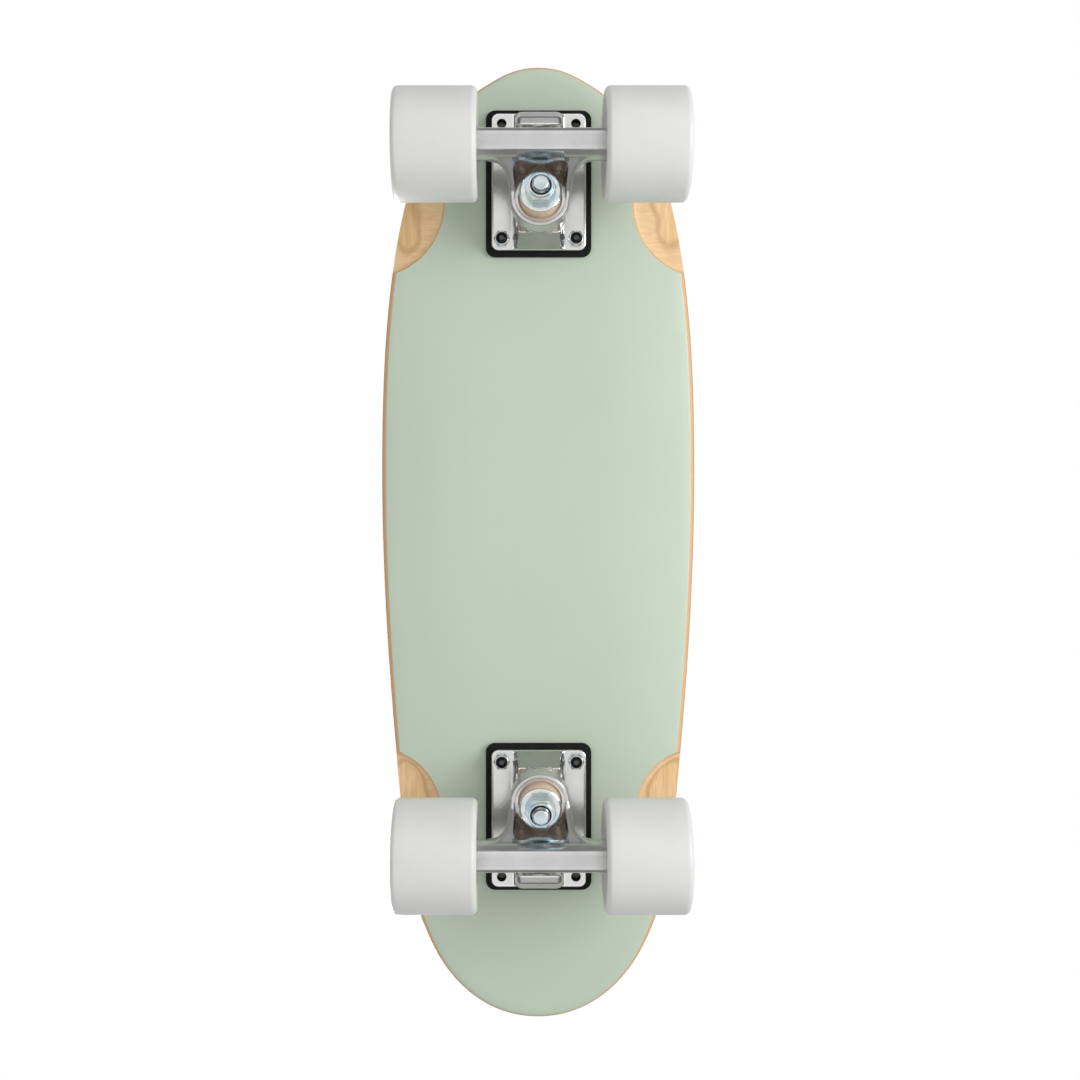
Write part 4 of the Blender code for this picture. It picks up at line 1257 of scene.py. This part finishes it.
def inside_pocket(point):
    """True on the window's own walls, between the arms and under the beam, but not on its level floor."""
    below_skin = point.z > 25.2 - 0.98 * (point.y + 5.2)
    above_floor = point.z < 43.4 + math.tan(KINGPIN_LEAN) * (point.y - RING_T)
    return abs(point.x) < 14.9 and -25.0 < point.y < POCKET_EDGE_T and above_floor and below_skin


def sleeve(bore, outer, side, low, high, corner):
    """Short tube round the axle on one side of its middle, with eased corners."""
    low, high = sorted((side * low, side * high))
    profile = ((bore, low), (outer, low), (outer, high), (bore, high))
    return lathe(eased(profile, corner, 3, True), 48, ring=True)


def inner_stack():
    """Two inner races, the spacer between them and a speed washer outside each, on one axle."""
    race_end = BEARING_X + BEARING_HALF_WIDTH
    race_start = BEARING_X - BEARING_HALF_WIDTH
    races = []
    for side in (-1.0, 1.0):
        races.append(sleeve(4.05, 6.0, side, race_start, race_end, 0.3))
        races.append(painted(sleeve(4.08, 6.2, side, race_end + 0.06, 12.8, 0.2), 1))
    end = race_start - 0.05
    spacer = lathe(((4.08, -end), (5.4, -end), (5.4, end), (4.08, end)), 32, ring=True)
    return merged(*races, painted(spacer, 1))


def bearing_outer():
    """Outer race with a dished shield on each face, the shield's lip rolled into the race."""
    half = BEARING_HALF_WIDTH
    race = lathe(eased(((10.98, -half), (10.98, half), (9.35, half), (9.15, half - 0.5), (9.15, 0.5 - half),
                        (9.35, -half)), 0.28, 3, True), 64, ring=True)
    face = half - 0.22
    profile = ((9.14, face - 0.25), (8.8, face), (8.3, face + 0.05), (7.6, face - 0.10), (6.25, face - 0.14),
               (6.25, face - 0.42), (9.14, face - 0.55))
    shields = [painted(lathe([(r, side * h) for r, h in profile], 64, ring=True), 1) for side in (-1.0, 1.0)]
    return merged(race, *shields)


def wheel_solid():
    """Moulded wheel: 3 mm lips, dished faces with a step, and a core with two bearing seats."""
    seat_depth = BEARING_X + BEARING_HALF_WIDTH + 0.05
    step = BEARING_X - BEARING_HALF_WIDTH - 0.05
    lip_radius = 3.0
    lip = []
    for k in range(9):
        r, h = on_circle(lip_radius, math.radians(90.0 * (1.0 - k / 8.0)))
        lip.append((WHEEL_RADIUS - lip_radius + r, WHEEL_HALF_WIDTH - lip_radius + h))
    face = eased(((9.6, step), (11.05, step), (11.05, seat_depth + 0.2), (12.6, seat_depth + 0.9),
                  (13.6, 13.2), (15.2, 16.9), (18.6, 19.4), (22.4, 20.9), (24.2, WHEEL_HALF_WIDTH)), 0.9, 4)
    half = face + lip + [(WHEEL_RADIUS, 14.0), (WHEEL_RADIUS, 7.0)]
    profile = [(r, -h) for r, h in half] + [(WHEEL_RADIUS, 0.0)] + list(reversed(half))
    return lathe(profile, 128, ring=True)


def axle():
    end = AXLE_HALF_LENGTH
    tip = ((end - 1.2, AXLE_RADIUS), (end - 0.7, 3.72), (end, 3.1))
    profile = [(-x, r) for x, r in reversed(tip)] + list(tip)
    threads = [(-end + 0.3, -63.0, 1.06, 0.36), (63.0, end - 0.3, 1.06, 0.36)]
    return rod(profile, threads, 40)


def moving_meshes():
    """Meshes of the hanger's and the wheels' pieces, each named once and used on both trucks."""
    across = along_x(0.0, 0.0)
    bore = AXLE_RADIUS + 0.01
    pieces = (
        ("hanger_casting", hanger(), [HANGER, TURNED, HANGER, POCKET_SHADE_SKIN], 38.0),
        ("axle_rod", moved(axle(), along_x()), [ZINC_PLAIN], 35.0),
        ("axle_lock_nut", nut_body(AXLE_NUT, bore), [ZINC_PLAIN], 30.0),
        ("axle_nylon", nylon_ring(AXLE_NUT, bore), [NYLON_NATURAL], 30.0),
        ("race_stack", moved(inner_stack(), across), [RACE, ZINC_PLAIN], 35.0),
        ("wheel_moulding", moved(wheel_solid(), across), [URETHANE], 40.0),
        ("sealed_bearing", moved(bearing_outer(), across), [RACE, SHIELD], 35.0),
    )
    return {name: finished_mesh(name, solid, materials, sharp) for name, solid, materials, sharp in pieces}


def build_moving_side(truck, meshes):
    place = TRUCKS[truck]

    def put(mesh, suffix, spot, body, slot, *nodes):
        place_piece(f"{mesh}_{suffix}", meshes[mesh], spot, body, slot, *nodes)

    body = f"hanger_{truck}"
    put("hanger_casting", truck, place, body, "cast_alloy", f"hanger_{truck}")
    put("axle_rod", truck, place, body, "zinc", f"axle_{truck}")
    for side, sign in (("left", -1.0), ("right", 1.0)):
        corner = f"{truck}_{side}"
        start = Matrix.Translation((sign * AXLE_NUT_X * MM, 0.0, AXLE_Z * MM))
        outwards = place @ start @ Matrix.Rotation(sign * math.pi / 2.0, 4, "Y")
        put("axle_lock_nut", corner, outwards, body, "zinc", f"axle_nut_{corner}")
        put("axle_nylon", corner, outwards, body, "nylon")
        wheel = f"wheel_{corner}"
        hub = Matrix.Translation(centre(wheel))
        put("race_stack", corner, hub, body, "bearing_steel", f"inner_races_{corner}")
        put("wheel_moulding", corner, hub, wheel, "wheel_urethane", wheel)
        for where in ("inner", "outer"):
            bearing = f"bearing_{corner}_{where}"
            spot = Matrix.Translation(centre(bearing))
            put("sealed_bearing", f"{corner}_{where}", spot, wheel, "bearing_steel", bearing)


def build_truck_sides():
    fixed = deck_side_meshes()
    moving = moving_meshes()
    for truck, place in TRUCKS.items():
        for name, mesh, slot, node in fixed:
            nodes = (f"{node}_{truck}",) if node else ()
            place_piece(f"{name}_{truck}", mesh, place, "board", slot, *nodes)
        build_bushings(truck)
        build_moving_side(truck, moving)


build_deck()
build_grip()
build_mount_bolts()
build_truck_sides()


# ================================================================ studio
# (position from straight down to straight up, level) of the backdrop's light
DIFFUSE_SKY = ((0.0, 1.0), (0.15, 0.95), (0.35, 0.86), (0.50, 0.80), (0.72, 0.74), (1.0, 1.0))
DIFFUSE_STRENGTH = 0.76
MIRRORED_SKY = ((0.0, 0.72), (0.04, 0.74), (0.09, 0.95), (0.18, 1.0), (0.26, 0.50), (0.35, 0.13),
                (0.50, 0.06), (0.64, 0.26), (1.0, 0.75))
MIRRORED_STRENGTH = 1.25
FLOOR_HALF_SIZE = 30.0
BOARD_MIDDLE = (0.0, 0.0, 0.05)
# (place in metres, diameter in metres, watts)
LAMPS = {"key": ((-0.95, 0.20, -0.62), 0.7, 8.5), "overhead": ((0.5, -0.5, 1.3), 0.9, 16.0)}
CAMERA_PLACE = (0.0176, 0.0259, -0.7574)
CAMERA_SHIFT = (0.0304, -0.0369)


def build_floor():
    """Pale floor that only shows from above, so that the underside is seen against the backdrop."""
    bm = bmesh.new()
    corners = ((-1, -1), (1, -1), (1, 1), (-1, 1))
    bm.faces.new([bm.verts.new((x * FLOOR_HALF_SIZE, y * FLOOR_HALF_SIZE, 0.0)) for x, y in corners])
    material = bpy.data.materials.new("floor")
    material.use_nodes = True
    tree = material.node_tree
    tree.nodes.clear()
    camera_ray = add_node(tree, "LightPath").outputs["Is Camera Ray"]
    from_below = add_node(tree, "NewGeometry").outputs["Backfacing"]
    seen = add_node(tree, "Math", {0: camera_ray, 1: from_below}, operation="SUBTRACT", use_clamp=True)
    clear = add_node(tree, "BsdfTransparent")
    paper = add_node(tree, "BsdfDiffuse", {"Color": (0.86, 0.86, 0.855, 1.0)})
    mix = add_node(tree, "MixShader", {0: seen.outputs[0], 1: clear.outputs[0], 2: paper.outputs[0]})
    add_node(tree, "OutputMaterial", {"Surface": mix.outputs[0]})
    linked("floor", mesh_of("floor", bm, [material]))


def sky(tree, height, stops, strength):
    """A background whose level follows the direction's height, from straight down to straight up."""
    colour = add_ramp(tree, height, [(position, (level,) * 3) for position, level in stops])
    return add_node(tree, "Background", {"Strength": strength, "Color": colour}).outputs[0]


def build_backdrop():
    """White backdrop; as a light it is soft all round, and metal sees a darker band at the horizon."""
    world = bpy.data.worlds.new("studio")
    bpy.context.scene.world = world
    world.use_nodes = True
    tree = world.node_tree
    tree.nodes.clear()
    direction = add_node(tree, "TexCoord").outputs["Generated"]
    upwards = add_node(tree, "SeparateXYZ", {0: direction}).outputs["Z"]
    height = add_node(tree, "MapRange", {"From Min": -1.0, "Value": upwards}).outputs["Result"]
    soft = sky(tree, height, DIFFUSE_SKY, DIFFUSE_STRENGTH)
    mirrored = sky(tree, height, MIRRORED_SKY, MIRRORED_STRENGTH)
    seen = add_node(tree, "Background", {"Color": (1.0, 1.0, 1.0, 1.0)}).outputs[0]
    path = add_node(tree, "LightPath")
    lights = add_node(tree, "MixShader", {0: path.outputs["Is Glossy Ray"], 1: soft, 2: mirrored}).outputs[0]
    mix = add_node(tree, "MixShader", {0: path.outputs["Is Camera Ray"], 1: lights, 2: seen})
    add_node(tree, "OutputWorld", {"Surface": mix.outputs[0]})


def area_light(name, place, size, watts):
    light = bpy.data.lights.new(name, "AREA")
    light.shape = "DISK"
    light.size = size
    light.energy = watts
    lamp = linked(name, light)
    lamp.location = place
    lamp.rotation_euler = (Vector(BOARD_MIDDLE) - Vector(place)).to_track_quat("-Z", "Y").to_euler()


def build_camera():
    """Long view straight up at the underside, nose at the top of the picture."""
    lens = bpy.data.cameras.new("camera")
    lens.lens = 50.0
    lens.sensor_width = 36.0
    lens.shift_x, lens.shift_y = CAMERA_SHIFT
    lens.clip_start = 0.01
    facing = Matrix(((-1, 0, 0, 0), (0, 1, 0, 0), (0, 0, -1, 0), (0, 0, 0, 1)))
    bpy.context.scene.camera = linked("camera", lens, Matrix.Translation(CAMERA_PLACE) @ facing)


build_floor()
build_backdrop()
for lamp_name, settings in LAMPS.items():
    area_light(lamp_name, *settings)
build_camera()
bpy.context.scene.view_settings.view_transform = "Standard"
